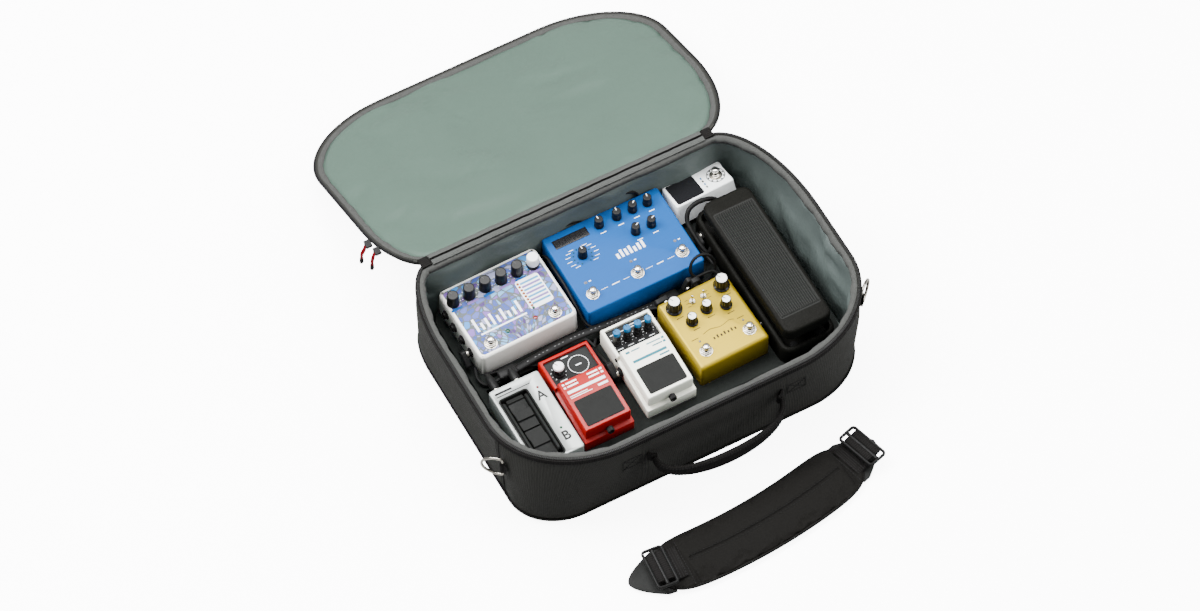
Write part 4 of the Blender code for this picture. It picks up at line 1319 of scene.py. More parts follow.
def carve(body, look, place, span, radius, heights):
    """Cuts a well with rounded corners out of a pedal's body."""
    bm = bmesh.new()
    loft(bm, [level(span, radius, z) for z in heights])
    cutter = piece("cutter", bm, look, "", place, smooth=0)
    cut = body.modifiers.new("well", "BOOLEAN")
    cut.object = cutter
    cut.solver = "EXACT"
    carved = evaluated_mesh(body)
    body.modifiers.clear()
    body.data = carved
    bpy.data.objects.remove(cutter)


def plate(bm, centre, size, z, height=0.0003, corner=0.0, slot=0):
    """A thin printed or glued plate with optional round corners."""
    span = about(centre, size[0] / 2, size[1] / 2)
    loft(bm, [level(span, max(corner, 0.0002), z + rise) for rise in (0.0, height)], slot=slot)


def mark(bm, a, b, z, width=0.0007, slot=0):
    """A thin printed line between two points of a panel."""
    a = Vector((*a, z + 0.0001))
    b = Vector((*b, z + 0.0001))
    turn = (b - a).to_track_quat("X", "Z").to_matrix().to_4x4()
    box(bm, ((b - a).length, width, 0.0002), (0.0, 0.0, 0.0), Matrix.Translation((a + b) / 2) @ turn, slot)


def bars(bm, z, rows):
    """Printed bars that run sideways; each row is (left, right, y, width)."""
    for left, right, y, width in rows:
        mark(bm, (left, y), (right, y), z, width)


def upright_bars(bm, z, first, step, y, heights, width):
    """A row of printed bars of different heights that stand on one line."""
    for i, height in enumerate(heights):
        x = first + step * i
        mark(bm, (x, y), (x, y + height), z, width)


def heading(degrees):
    """The plan direction at an angle from +X."""
    turn = math.radians(degrees)
    return Vector((math.cos(turn), math.sin(turn)))


def dial(bm, centre, turns, reach, z, width):
    """Printed ticks round a control; turns is (first, step, count) and reach is (inner, outer)."""
    first, step, count = turns
    inner, outer = reach
    for k in range(count):
        direction = heading(first + step * k)
        mark(bm, Vector(centre) + direction * inner, Vector(centre) + direction * outer, z, width)


def disc(bm, centre, radius, z, height=0.0003, hole=0.0, sides=28, slot=0):
    """A thin disc, or a ring when it has a hole."""
    profile = ((radius, z), (radius, z + height))
    if hole:
        profile = ((hole, z), *profile, (hole, z + height))
    rings = [[Vector((centre[0] + x, centre[1] + y, h)) for x, y in circle(r, sides)] for r, h in profile]
    loft(bm, rings, (not hole, not hole), cyclic=bool(hole), slot=slot)


def lens(bm, centre, radius, z, slot=0):
    """A small domed light."""
    rows = ((1.0, 0.0), (1.0, 0.0004), (0.85, 0.0009), (0.5, 0.0013), (0.0, 0.0014))
    lathe(bm, [(radius * a, b) for a, b in rows], 16, Matrix.Translation((*centre, z)), slots=[slot] * 5)


def nut(bm, rows, place=IDENTITY):
    """A hexagonal nut; each row is (z, radius)."""
    loft(bm, [[place @ Vector((x, y, z)) for x, y in circle(radius, 6)] for z, radius in rows])


def letter(name, text, spot):
    """A single generic printed letter."""
    curve = bpy.data.curves.new(name, "FONT")
    curve.body = text
    curve.size = 0.019
    curve.extrude = 0.00012
    curve.offset = 0.0004
    curve.align_x = "CENTER"
    curve.align_y = "CENTER"
    curve.materials.append(INK_BLACK.material)
    shape = bpy.data.objects.new(name + "_curve", curve)
    bpy.context.scene.collection.objects.link(shape)
    obj = bpy.data.objects.new(name, evaluated_mesh(shape))
    bpy.data.objects.remove(shape)
    bpy.context.scene.collection.objects.link(obj)
    obj.matrix_world = spot
    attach(obj, "case")


def knob(node, centre, top, place, size, style, turn):
    """A fluted knob with a cap and a pointer, turned by an angle.

    size is (radius, height) and style is (shape, cap look, pointer look, flutes, skirt, depth).
    """
    radius, height = size
    shape, cap, pointer, flutes, skirt, depth = style

    def ripple(spin, k):
        fluted = flutes and 2 < k < 6
        return 1.0 - depth * (0.5 + 0.5 * math.cos(spin * flutes)) ** 2 if fluted else 1.0

    body = radius / skirt if skirt > 1.0 else radius * 0.97
    if shape == "tall":
        profile = (
            (radius, 0.0), (radius, 0.0012), (radius * 0.92, 0.0026), (radius * 0.8, 0.0034),
            (radius * 0.76, height * 0.5), (radius * 0.74, height * 0.74), (radius * 0.745, height * 0.76),
            (radius * 0.8, height * 0.77), (radius * 0.8, height - 0.001), (radius * 0.7, height),
            (0.0, height),
        )
        slots = [0] * 6 + [1] * 5
    else:
        profile = (
            (radius * 0.96, 0.0), (radius, 0.0004), (radius, 0.0022), (body, 0.0034),
            (body * 0.96, height * 0.55), (body * 0.92, height - 0.0018), (body * 0.9, height - 0.0006),
            (body * 0.84, height - 0.0001), (body * 0.76, height), (body * 0.745, height - 0.0003),
            (0.0, height - 0.0003),
        )
        slots = [0] * 9 + [1] * 2
    bm = bmesh.new()
    lathe(bm, profile, 72 if flutes else 40, ripple=ripple, slots=slots)
    ease = Matrix.Rotation(turn, 4, "Z")
    box(bm, (0.0009, body * 0.62, 0.0003), (0.0, body * 0.48, height - 0.00005), ease, slot=2)
    if shape == "pointer":
        box(bm, (0.0009, 0.0004, height * 0.55), (0.0, body * 0.93, height * 0.66), ease, slot=2)
    spot = place @ Matrix.Translation((*centre, top + GAP))
    piece(node + "_cap", bm, [KNOB_BLACK, cap, pointer], node, spot, 32, node)


GREY_TOP = ("pointer", CAP_GREY, GREY_THREAD, 0, 1.0, 0.0)
POINTER_SMALL = ("pointer", KNOB_BLACK, INK_WHITE, 18, 1.0, 0.05)
SILVER_TOP = ("round", SILVER_METAL, INK_BLACK, 10, 1.16, 0.1)
CYAN_TALL = ("tall", CAP_CYAN, INK_BLACK, 14, 1.0, 0.06)
WHITE_TOP = ("tall", CAP_WHITE, INK_BLACK, 14, 1.0, 0.06)


def white_knob(node, centre, top, place):
    """A tall white cap on a black base."""
    profile = (
        (0.0086, 0.0), (0.0086, 0.0042), (0.0078, 0.005), (0.0078, 0.0054), (0.0082, 0.006),
        (0.008, 0.018), (0.0077, 0.0193), (0.007, 0.02), (0.0, 0.0201),
    )
    bm = bmesh.new()
    lathe(bm, profile, 40, slots=[0] * 4 + [1] * 5)
    spot = place @ Matrix.Translation((*centre, top + GAP))
    piece(node + "_cap", bm, [KNOB_BLACK, CAP_WHITE], node, spot, node=node)


def footswitch(node, centre, top, place):
    """A chrome stomp switch: domed cap on its stem, threaded bushing, hex nut and washer."""
    spot = place @ Matrix.Translation((*centre, top))
    bm = bmesh.new()
    lathe(bm, [(0.0036, -0.006), (0.0036, 0.0072), (0.0047, 0.0073), (0.005, 0.0078), (0.005, 0.0108),
               (0.0046, 0.012), (0.0036, 0.0126), (0.0, 0.0128)], 32)
    piece(node + "_cap", bm, CHROME, node, spot, 45, node)
    bm = bmesh.new()
    lathe(bm, [(0.0042, -0.001), (0.0088, -0.0005), (0.0088, 0.0005), (0.007, 0.0007)], 32)
    nut(bm, ((0.0006, 0.0072), (0.0009, 0.0079), (0.0025, 0.0079), (0.0028, 0.0072)))
    threads = [(0.0058, 0.0026)]
    for k in range(4):
        threads += [(0.006, 0.003 + 0.0005 * k), (0.0057, 0.00325 + 0.0005 * k)]
    threads += [(0.006, 0.005), (0.0052, 0.0053), (0.0044, 0.0053), (0.0044, 0.003)]
    lathe(bm, threads, 28)
    piece(node + "_bushing", bm, NICKEL, "case", spot, 30)


def jack(bm, point, direction, length=0.004):
    """A jack socket: hex nut, threaded collar and a dark bore."""
    place = pointing(point, direction)
    nut(bm, ((-0.002, 0.0066), (0.0012, 0.0066), (0.0017, 0.0061)), place)
    lathe(bm, [(0.0046, 0.001), (0.0046, length), (0.0043, length + 0.0002), (0.0031, length + 0.0002),
               (0.003, length - 0.002)], 24, place, slots=[0, 0, 0, 0, 1])


def straight_plug(bm, point, direction, length=0.03):
    """A straight plug pushed into a socket: nickel collar, black grip and strain relief."""
    place = pointing(point, direction)
    lathe(bm, [(0.005, 0.003), (0.0056, 0.0036), (0.0056, 0.008), (0.005, 0.0086)], 24, place, slots=[1] * 4)
    lathe(bm, [(0.005, 0.0084), (0.006, 0.0092), (0.006, length - 0.008), (0.0046, length - 0.005),
               (0.0034, length), (0.0, length)], 24, place, slots=[0] * 6)


def flat_plug(bm, point, direction, along, length=0.024):
    """A pancake plug: a flat black block at right angles to its shaft."""
    forward = Vector(direction).normalized()
    along = Vector(along).normalized()
    turn = Matrix((along, forward.cross(along), forward)).transposed().to_4x4()
    place = Matrix.Translation(point) @ turn
    lathe(bm, [(0.0052, 0.0015), (0.0052, 0.004), (0.0046, 0.0046)], 20, place, slots=[1] * 3)
    span = (-0.0065, length - 0.0065, -0.0065, 0.0065)
    rows = ((0.0042, 0.001), (0.005, 0.0), (0.0108, 0.0), (0.0116, 0.001))
    loft(bm, [level(span, 0.0042 - inset, z, inset, matrix=place) for z, inset in rows])


def cable(name, radius, points):
    """A round cable through points that are measured from the deck's top."""
    bm = bmesh.new()
    sweep(bm, smooth_path([(x, y, DECK_TOP + z) for x, y, z in points], 10), circle(radius, 12))
    piece(name, bm, CABLE_BLACK, "case", smooth=60)


def build_reverb_print(top):
    """The reverb pedal's list panel, lamps, tick marks and printed bars."""
    looks = [INK_WHITE, INK_CYAN, INK_LILAC, ORANGE_LAMP, GREEN_LAMP, RED_LAMP, BLUE_METAL]
    ink = top + 0.0002
    bm = bmesh.new()
    plate(bm, (0.0385, -0.0015), (0.034, 0.0475), ink, 0.0003, 0.004)
    for i in range(7):
        plate(bm, (0.0405, 0.016 - 0.0056 * i), (0.0265, 0.003), top + 0.0005, 0.0002, 0.0004, slot=1 + i % 2)
    for i in range(8):
        lens(bm, (0.0245 + 0.0001 * i, 0.0175 - 0.0053 * i), 0.0019, top + 0.0004, slot=3)
    lens(bm, (0.0252, -0.0235), 0.0019, top + 0.0004, slot=4)
    lens(bm, (-0.021, -0.038), 0.0032, ink, slot=4)
    lens(bm, (0.02, -0.038), 0.0032, ink, slot=5)
    heights = (0.021, 0.011, 0.015, 0.018, 0.011, 0.018, 0.01, 0.012, 0.019)
    upright_bars(bm, ink, -0.053, 0.0078, -0.021, heights, 0.0034)
    bars(bm, ink, ((-0.053, 0.014, -0.0262, 0.0024),))
    for i in range(6):
        x = -0.0615 + 0.0236 * i
        plate(bm, (x, 0.0235), (0.0165, 0.0034), ink, 0.0002, 0.0012, slot=2 if i % 2 else 6)
        dial(bm, (x, 0.0343), (-40.0, 32.5, 9), (0.0094, 0.011), ink, 0.0005)
    piece("reverb_print", bm, looks, "case", REVERB)


def build_reverb():
    """The reverb pedal: a pale casing with a mosaic front, six knobs and two buttons."""
    top = 0.0385
    casing("reverb", (0.146, 0.121, top), 0.009, 0.0036, CAST_PAINT, REVERB, 0.0014)
    bm = bmesh.new()
    plate(bm, (0.0, 0.0), (0.1345, 0.1095), top - 0.0001, 0.0003, 0.005)
    piece("reverb_artwork", bm, MOSAIC, "case", REVERB)
    build_reverb_print(top)
    for i in range(5):
        spot = (-0.0615 + 0.0236 * i, 0.0343)
        knob(f"reverb_knob_{i + 1}", spot, top, REVERB, (0.0085, 0.02), GREY_TOP, 0.3)
    white_knob("reverb_knob_6", (0.0565, 0.0343), top, REVERB)
    footswitch("reverb_button_1", (-0.0487, -0.0432), top, REVERB)
    footswitch("reverb_button_2", (0.0463, -0.0432), top, REVERB)
    bm = bmesh.new()
    for y, length in ((0.012, 0.004), (0.034, 0.004), (-0.01, 0.0035), (-0.032, 0.0035)):
        jack(bm, (-0.0728, y, 0.02), LEFT, length)
    flat_plug(bm, (-0.0755, -0.032, 0.02), LEFT, (0.0, -0.8, -0.6))
    piece("reverb_sockets", bm, [BLACK_PLASTIC, NICKEL], "case", REVERB)
    bm = bmesh.new()
    for x, y in ((-0.06596, 0.053835), (0.06596, 0.053835), (-0.06596, -0.053835), (0.06596, -0.053835)):
        spot = Matrix.Translation((x, y, top - 0.0004))
        lathe(bm, [(0.0022, 0.0), (0.002, 0.0005), (0.0, 0.0006)], 16, spot)
    piece("reverb_screws", bm, NICKEL, "case", REVERB)


def build_modulation_print(top, centre, knobs):
    """The modulation pedal's display digits, ring of lamps, labels and button lamps."""
    bm = bmesh.new()
    digit = (((-0.0021, 0.0042), (0.0021, 0.0042)), ((-0.0021, 0.0), (0.0021, 0.0)),
             ((-0.0021, -0.0042), (0.0021, -0.0042)), ((-0.0023, -0.0042), (-0.0023, 0.0042)),
             ((0.0023, -0.0042), (0.0023, 0.0042)), ((0.0, -0.0042), (0.0, 0.0042)))
    for i in range(6):
        x = -0.0708 + 0.0079 * i
        for a, b in digit:
            mark(bm, (x + a[0], 0.048 + a[1]), (x + b[0], 0.048 + b[1]), top + 0.0006, slot=3)
    for k in range(12):
        direction = heading(-60.0 + 27.3 * k)
        spot = Vector(centre) + direction * 0.0125
        lens(bm, spot, 0.001, top, slot=1)
        tail = spot + Vector((math.copysign(0.0035, direction.x), direction.y * 0.002))
        mark(bm, tail, tail + Vector((math.copysign(0.007, direction.x), 0.0)), top)
    bars(bm, top, [(x - 0.004, x + 0.004, y - 0.0125, 0.0011) for x, y in knobs])
    for x, y in ((-0.0664, -0.0216), (0.0006, -0.0209), (0.0659, -0.0205)):
        lens(bm, (x, y), 0.0014, top, slot=2)
        disc(bm, (x, y), 0.0021, top, 0.0003, 0.0015, 20, slot=2)
        bars(bm, top, ((x + 0.0045, x + 0.0075, y, 0.0016),))
    labels = ((-0.054, -0.044, 0.0005), (-0.038, -0.027, 0.0012), (-0.021, -0.012, 0.0005),
              (0.012, 0.022, 0.0005), (0.028, 0.038, 0.0012), (0.044, 0.054, 0.0005))
    for a, b, width in labels:
        mark(bm, (a, -0.0408), (b, -0.0406), top, width)
    upright_bars(bm, top, -0.01, 0.0062, -0.01, (0.008, 0.012, 0.0105, 0.012, 0.008, 0.0105, 0.012), 0.0036)
    looks = [INK_WHITE, GREEN_LAMP, GREY_LAMP, PANEL_DARK]
    piece("modulation_print", bm, looks, "case", MODULATION)


def build_modulation():
    """The modulation pedal: a blue casing with a display, seven knobs and three buttons."""
    top = 0.043
    casing("modulation", (0.1715, 0.13, top), 0.0035, 0.0022, BLUE_METAL, MODULATION)
    bm = bmesh.new()
    plate(bm, (-0.051, 0.048), (0.05, 0.014), top, 0.0006, 0.0008)
    piece("modulation_window", bm, SCREEN, "case", MODULATION)
    centre = (-0.0502, 0.017)
    knobs = ((-0.0093, 0.048), (0.017, 0.048), (0.0405, 0.048), (0.0625, 0.048), (0.0277, 0.016),
             (0.051, 0.016))
    build_modulation_print(top, centre, knobs)
    turns = (0.0, 0.15, -0.1, -0.9, -0.2, -1.1, -1.2)
    for i, (spot, turn) in enumerate(zip((centre, *knobs), turns)):
        knob(f"modulation_knob_{i + 1}", spot, top, MODULATION, (0.0066, 0.0155), POINTER_SMALL, turn)
    for i, spot in enumerate(((-0.0664, -0.041), (0.0, -0.0405), (0.0662, -0.04))):
        footswitch(f"modulation_button_{i + 1}", spot, top, MODULATION)
    bm = bmesh.new()
    for x in (-0.066, -0.044, -0.01, 0.012, 0.048, 0.07):
        jack(bm, (x, 0.0648, 0.024), BACKWARD, 0.0022)
    piece("modulation_sockets", bm, [BLACK_PLASTIC, NICKEL], "case", MODULATION)


def build_tuner():
    """The tuner: a small white casing with a display and a button in a ring of marks."""
    top = 0.033
    button = (0.0275, 0.0)
    casing("tuner", (0.093, 0.047, top), 0.005, 0.0024, WHITE_PAINT, TUNER, 0.003)
    bm = bmesh.new()
    plate(bm, (-0.0195, 0.0), (0.04, 0.0365), top - 0.0001, 0.0007, 0.003)
    piece("tuner_screen", bm, SCREEN, "case", TUNER)
    bm = bmesh.new()
    disc(bm, button, 0.0128, top, 0.0002, 0.0118, 40)
    dial(bm, button, (0.0, 36.0, 10), (0.0098, 0.0116), top, 0.0024)
    for i in range(4):
        mark(bm, (0.0078, -0.013 + 0.0055 * i), (0.0078, -0.0095 + 0.0055 * i), top, 0.0022, slot=i % 2)
    mark(bm, (0.0425, -0.01), (0.0425, 0.01), top, 0.001)
    piece("tuner_print", bm, [INK_BLACK, CAP_CYAN], "case", TUNER)
    footswitch("tuner_button", button, top, TUNER)


def build_drive_print(top, large, small):
    """The drive pedal's labels, lamps and flourish."""
    bm = bmesh.new()
    for x, y in large + small:
        drop = 0.0155 if (x, y) in large else 0.0124
        bars(bm, top, ((x - 0.005, x + 0.005, y - drop, 0.001),))
    for x in (-0.015, 0.0146):
        bars(bm, top, [(x - 0.0022, x + 0.0022, y, 0.0007) for y in (0.033, 0.038, 0.043)])
    bars(bm, top, [(x, x + 0.01, -0.0135, 0.0008) for x in (-0.04, 0.028)])
    for i in range(7):
        x = -0.012 + 0.0052 * i
        mark(bm, (x, -0.026), (x, -0.0225 + 0.0016 * (i % 2)), top, 0.0022)
    for x, y in ((-0.031, -0.019), (0.0338, -0.019)):
        lens(bm, (x, y), 0.0016, top, slot=1)
    path = [(-0.022, -0.012), (-0.01, -0.0095), (0.004, -0.0125), (0.018, -0.0098), (0.024, -0.0118)]
    sweep(bm, smooth_path([(*p, top + 0.0001) for p in path], 8), rounded_strip(0.0007, 0.0003))
    piece("drive_print", bm, [INK_BLACK, GREY_LAMP], "case", DRIVE)


def build_toggle(node, place):
    """A chrome toggle lever in its threaded bushing."""
    bm = bmesh.new()
    lathe(bm, [(0.0008, -0.001), (0.001, 0.0), (0.0013, 0.005), (0.0017, 0.0082), (0.0016, 0.0095),
               (0.001, 0.0103), (0.0, 0.0105)], 20)
    pivot = place @ Matrix.Translation((0.0, 0.0, 0.0045))
    piece(node + "_lever", bm, CHROME, node, pivot, 60, node)
    bm = bmesh.new()
    nut(bm, ((0.0, 0.004), (0.0002, 0.0043), (0.0014, 0.0043), (0.0017, 0.004)))
    lathe(bm, [(0.003, 0.0015), (0.003, 0.0036), (0.0028, 0.004), (0.0024, 0.004), (0.0023, 0.0034)], 20)
    piece(node + "_bushing", bm, NICKEL, "case", place)


def build_drive():
    """The drive pedal: a gold casing with five knobs, two toggles and two buttons."""
    top = 0.041
    casing("drive", (0.102, 0.1143, top), 0.004, 0.005, GOLD_METAL, DRIVE)
    large = ((-0.0345, 0.04), (0.0365, 0.04))
    small = ((-0.0245, 0.0115), (0.0015, 0.019), (0.0265, 0.0115))
    build_drive_print(top, large, small)
    for i, spot in enumerate(large + small):
        size = (0.011, 0.019) if spot in large else (0.0082, 0.0155)
        knob(f"drive_knob_{i + 1}", spot, top, DRIVE, size, SILVER_TOP, 0.5)
    build_toggle("drive_toggle_1", DRIVE @ Matrix.Translation((-0.0085, 0.038, top)))
    build_toggle("drive_toggle_2", DRIVE @ Matrix.Translation((0.008, 0.038, top)))
    footswitch("drive_button_1", (-0.031, -0.0354), top, DRIVE)
    footswitch("drive_button_2", (0.0338, -0.0354), top, DRIVE)
    bm = bmesh.new()
    for x in (-0.032, -0.01, 0.014, 0.036):
        jack(bm, (x, 0.057, 0.022), BACKWARD, 0.0035)
    flat_plug(bm, (-0.032, 0.06, 0.022), BACKWARD, LEFT, 0.021)
    flat_plug(bm, (0.014, 0.06, 0.022), BACKWARD, UP, 0.021)
    piece("drive_sockets", bm, [BLACK_PLASTIC, NICKEL], "case", DRIVE)


HALF_Y = 0.0645
PLATE_FRONT = -0.061
PLATE_BACK = 0.0175
PLATE_HALF = 0.0322
PANEL_Z = 0.03
COMPACT_TOP = 0.034
PLATE_PIVOT = 0.033
COMPACT_HALF = 0.03575
TREADLE_LOW = 0.036
TREADLE_MIDDLE = 0.059


def shaped(bm, profile, half, shrink, shift=(0.0, 0.0, 0.0)):
    """A side profile (y, z) drawn out along X, its two end faces pulled in to soften the edge."""
    middle = Vector((sum(y for y, _ in profile), sum(z for _, z in profile))) / len(profile)
    rings = []
    for x, pull in ((-half, shrink), (-half + shrink, 0.0), (half - shrink, 0.0), (half, shrink)):
        ring = []
        for y, z in profile:
            towards = middle - Vector((y, z))
            y += math.copysign(min(abs(towards.x), pull), towards.x)
            z += math.copysign(min(abs(towards.y), pull), towards.y)
            ring.append(Vector((x, y, z)) + Vector(shift))
        rings.append(ring)
    loft(bm, rings)


def build_compact_body(name, place, paint):
    """A compact pedal's wedge casing with its sunk control panel."""
    front = 0.0205
    profile = (
        (-HALF_Y + 0.0006, GAP), (HALF_Y - 0.0006, GAP), (HALF_Y, 0.0012), (HALF_Y, COMPACT_TOP - 0.0028),
        (HALF_Y - 0.0009, COMPACT_TOP - 0.0008), (HALF_Y - 0.0026, COMPACT_TOP),
        (PLATE_BACK + 0.0004, COMPACT_TOP + 0.001), (PLATE_BACK - 0.0002, 0.0275),
        (-HALF_Y + 0.002, front - 0.002), (-HALF_Y + 0.0004, front - 0.003), (-HALF_Y, front - 0.0044),
        (-HALF_Y, 0.0012),
    )
    bm = bmesh.new()
    shaped(bm, profile, COMPACT_HALF, 0.001)
    body = piece(name + "_body", bm, paint, "", place, smooth=40)
    span = (-PLATE_HALF + 0.0005, PLATE_HALF - 0.0005, PLATE_BACK - 0.004, HALF_Y - 0.0048)
    carve(body, paint, place, span, 0.002, (PANEL_Z - 0.0003, 0.05))
    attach(body, "case")
    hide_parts(name + "_casing")
    bm = bmesh.new()
    centre = (0.0, (PLATE_BACK + HALF_Y - 0.005) / 2)
    size = (2 * PLATE_HALF - 0.0015, HALF_Y - 0.005 - PLATE_BACK)
    plate(bm, centre, size, PANEL_Z - 0.0002, 0.0004, 0.0018)
    piece(name + "_panel", bm, PANEL_DARK, "case", place)


def build_compact_plate(name, place, paint, ink, rows):
    """The hinged foot plate with its rubber pad and its printed bars."""
    node = name + "_plate"
    profile = (
        (PLATE_FRONT + 0.0004, 0.0226), (PLATE_FRONT + 0.003, 0.0236), (PLATE_BACK - 0.001, 0.03),
        (PLATE_BACK - 0.0006, 0.033), (PLATE_BACK - 0.0008, 0.0455), (PLATE_BACK - 0.0016, 0.0466),
        (PLATE_BACK - 0.003, 0.047), (PLATE_FRONT + 0.003, 0.0426), (PLATE_FRONT + 0.001, 0.0421),
        (PLATE_FRONT + 0.0001, 0.0408), (PLATE_FRONT, 0.039), (PLATE_FRONT, 0.0242),
    )
    hinged = place @ Matrix.Translation((0.0, PLATE_BACK, PLATE_PIVOT))
    bm = bmesh.new()
    shaped(bm, [(y - PLATE_BACK, z - PLATE_PIVOT) for y, z in profile], PLATE_HALF + 0.0004, 0.0009)
    piece(node + "_cover", bm, paint, node, hinged, 40, node)
    slope = math.atan2(0.047 - 0.0426, PLATE_BACK - PLATE_FRONT - 0.006)
    face = place @ Matrix.Translation((0.0, -0.0345, 0.0441)) @ Matrix.Rotation(slope, 4, "X")
    bm = bmesh.new()
    plate(bm, (0.0, -0.002), (0.054, 0.04), -0.0006, 0.0016, 0.0022)
    for k in range(5):
        plate(bm, (-0.0135 + 0.0068 * k, 0.0105), (0.005, 0.0058), 0.0009, 0.00025, 0.0008)
    piece(name + "_pad", bm, PAD_RUBBER, node, face)
    bm = bmesh.new()
    bars(bm, 0.0001, rows)
    piece(node + "_print", bm, ink, node, face)


def build_compact_fittings(name, place):
    """The knurled thumbscrew, the hinge bumps and the rubber feet."""
    node = name + "_thumbscrew"
    low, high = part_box(node)
    middle = (low + high) / 2
    bm = bmesh.new()
    profile = ((0.0024, 0.0), (0.003, 0.0012), (0.0047, 0.0016), (0.0048, 0.0075), (0.0043, 0.0084),
               (0.003, 0.0085), (0.0028, 0.0078), (0.0, 0.0078))
    lathe(bm, profile, 60, ripple=lambda t, k: 0.94 if 1 < k < 5 and math.cos(20 * t) > 0 else 1.0)
    spot = pointing((middle.x, high.y, middle.z), (0.0, -1.0, 0.0))
    piece(node + "_knurl", bm, BLACK_PLASTIC, node, spot, 30, node)
    bm = bmesh.new()
    for side in (-1.0, 1.0):
        lathe(bm, [(0.003, 0.0), (0.003, 0.0012), (0.0024, 0.0018), (0.0, 0.0019)], 20,
              pointing((side * (COMPACT_HALF - 0.0003), 0.019, 0.0255), (side, 0.0, 0.0)))
    for side in (-1.0, 1.0):
        plate(bm, (side * 0.0205, -0.05), (0.016, 0.02), GAP * 0.5, 0.0008, 0.003)
    piece(name + "_bumps", bm, BLACK_PLASTIC, "case", place)


def build_compact(name, place, paint, ink, rows):
    """A compact pedal: wedge casing, hinged foot plate, thumbscrew and feet."""
    build_compact_body(name, place, paint)
    build_compact_plate(name, place, paint, ink, rows)
    build_compact_fittings(name, place)


def build_delay():
    """The delay pedal: a cream compact with four tall knobs."""
    rows = (
        (-0.027, -0.0215, 0.0445, 0.003), (-0.0195, -0.007, 0.0445, 0.0016), (0.003, 0.023, 0.0445, 0.0016),
        (0.009, 0.023, 0.039, 0.0016), (0.0245, 0.028, 0.039, 0.003), (0.0245, 0.028, 0.0445, 0.003),
        (-0.0245, 0.024, 0.029, 0.0036), (0.011, 0.025, 0.023, 0.0022),
    )
    build_compact("delay", DELAY, CREAM_PAINT, INK_TEAL, rows)
    ink = PANEL_Z + 0.0002
    spots = [(-0.0245 + 0.0153 * i, 0.039) for i in range(4)]
    bm = bmesh.new()
    for spot in spots:
        dial(bm, spot, (-45.0, 33.75, 9), (0.0067, 0.0077), ink, 0.0005)
        bars(bm, ink, ((spot[0] - 0.004, spot[0] + 0.004, 0.0284, 0.0009),
                       (spot[0] - 0.003, spot[0] + 0.003, 0.052, 0.0009)))
    bars(bm, ink, [(0.0015 + 0.0018 * k, 0.0026 + 0.0018 * k, 0.0555, 0.0016) for k in range(6)])
    lens(bm, (0.0, 0.054), 0.0018, ink, slot=1)
    piece("delay_panel_print", bm, [INK_WHITE, RED_LAMP], "case", DELAY)
    for i, spot in enumerate(spots):
        knob(f"delay_knob_{i + 1}", spot, PANEL_Z, DELAY, (0.0062, 0.027), CYAN_TALL, 0.5 - 0.4 * i)


def build_looper():
    """The looper: a red compact with one white knob and a ring of marks."""
    rows = []
    for y in (0.0455, 0.0405):
        rows += [(-0.0285, -0.0255, y, 0.0026), (-0.0235, -0.008, y, 0.0022)]
        rows += [(0.0075, 0.0225, y, 0.0022), (0.025, 0.0285, y, 0.0026)]
    rows += [(-0.027, 0.027, 0.0325, 0.0042), (-0.027, -0.002, 0.0262, 0.001)]
    rows += [(-0.027, 0.004, 0.0236, 0.001), (0.013, 0.027, 0.025, 0.0032)]
    build_compact("looper", LOOPER, RED_PAINT, INK_WHITE, rows)
    ink = PANEL_Z + 0.0002
    centre = Vector((0.01, 0.0385))
    bm = bmesh.new()
    disc(bm, centre, 0.0145, ink, 0.0008, 0.0122, 48, slot=2)
    disc(bm, centre, 0.0122, ink, 0.0005, sides=40, slot=2)
    for k in range(24):
        ends = [centre + heading(15.0 * k + 7.5 + onward) * 0.0134 for onward in (0.0, math.degrees(0.21))]
        mark(bm, *ends, ink + 0.0008, 0.0008)
    dial(bm, (-0.0185, 0.039), (-45.0, 33.75, 9), (0.0092, 0.0106), ink, 0.0006)
    labels = ((-0.006, 0.004, 0.0565), (0.008, 0.026, 0.0215), (-0.0225, -0.013, 0.026))
    bars(bm, ink, [(*label, 0.0012) for label in labels])
    bars(bm, ink + 0.0005, ((0.006, 0.014, 0.0385, 0.0016),))
    piece("looper_panel_print", bm, [INK_WHITE, CAP_GREY, PANEL_DARK], "case", LOOPER)
    knob("looper_knob_1", (-0.0185, 0.039), PANEL_Z, LOOPER, (0.0088, 0.018), WHITE_TOP, 0.6)


def build_footswitch_well(top, well):
    """The rubber surround of the rockers, with the floor and the two ribs of their well."""
    span = about(well, 0.0195, 0.053)
    rows = []
    for grow, z in ((0.0018, 0.0), (0.0016, 0.0006), (-0.0002, 0.0006), (-0.0004, -0.0135), (0.001, -0.0135)):
        rows.append(level(span, 0.0035 + grow, top + z, -grow))
    bm = bmesh.new()
    loft(bm, rows, (False, False))
    plate(bm, well, (0.0388, 0.1055), top - 0.0148, 0.001, 0.003)
    rib = ((-0.044, 0.0), (0.049, 0.0), (0.049, 0.0105), (0.0465, 0.0125), (-0.042, 0.0125), (-0.044, 0.0105))
    for side in (-1.0, 1.0):
        shaped(bm, rib, 0.002, 0.0006, (well.x + side * 0.016, well.y, top - 0.0135))
    piece("footswitch_well", bm, PAD_RUBBER, "case", FOOTSWITCH, 40)


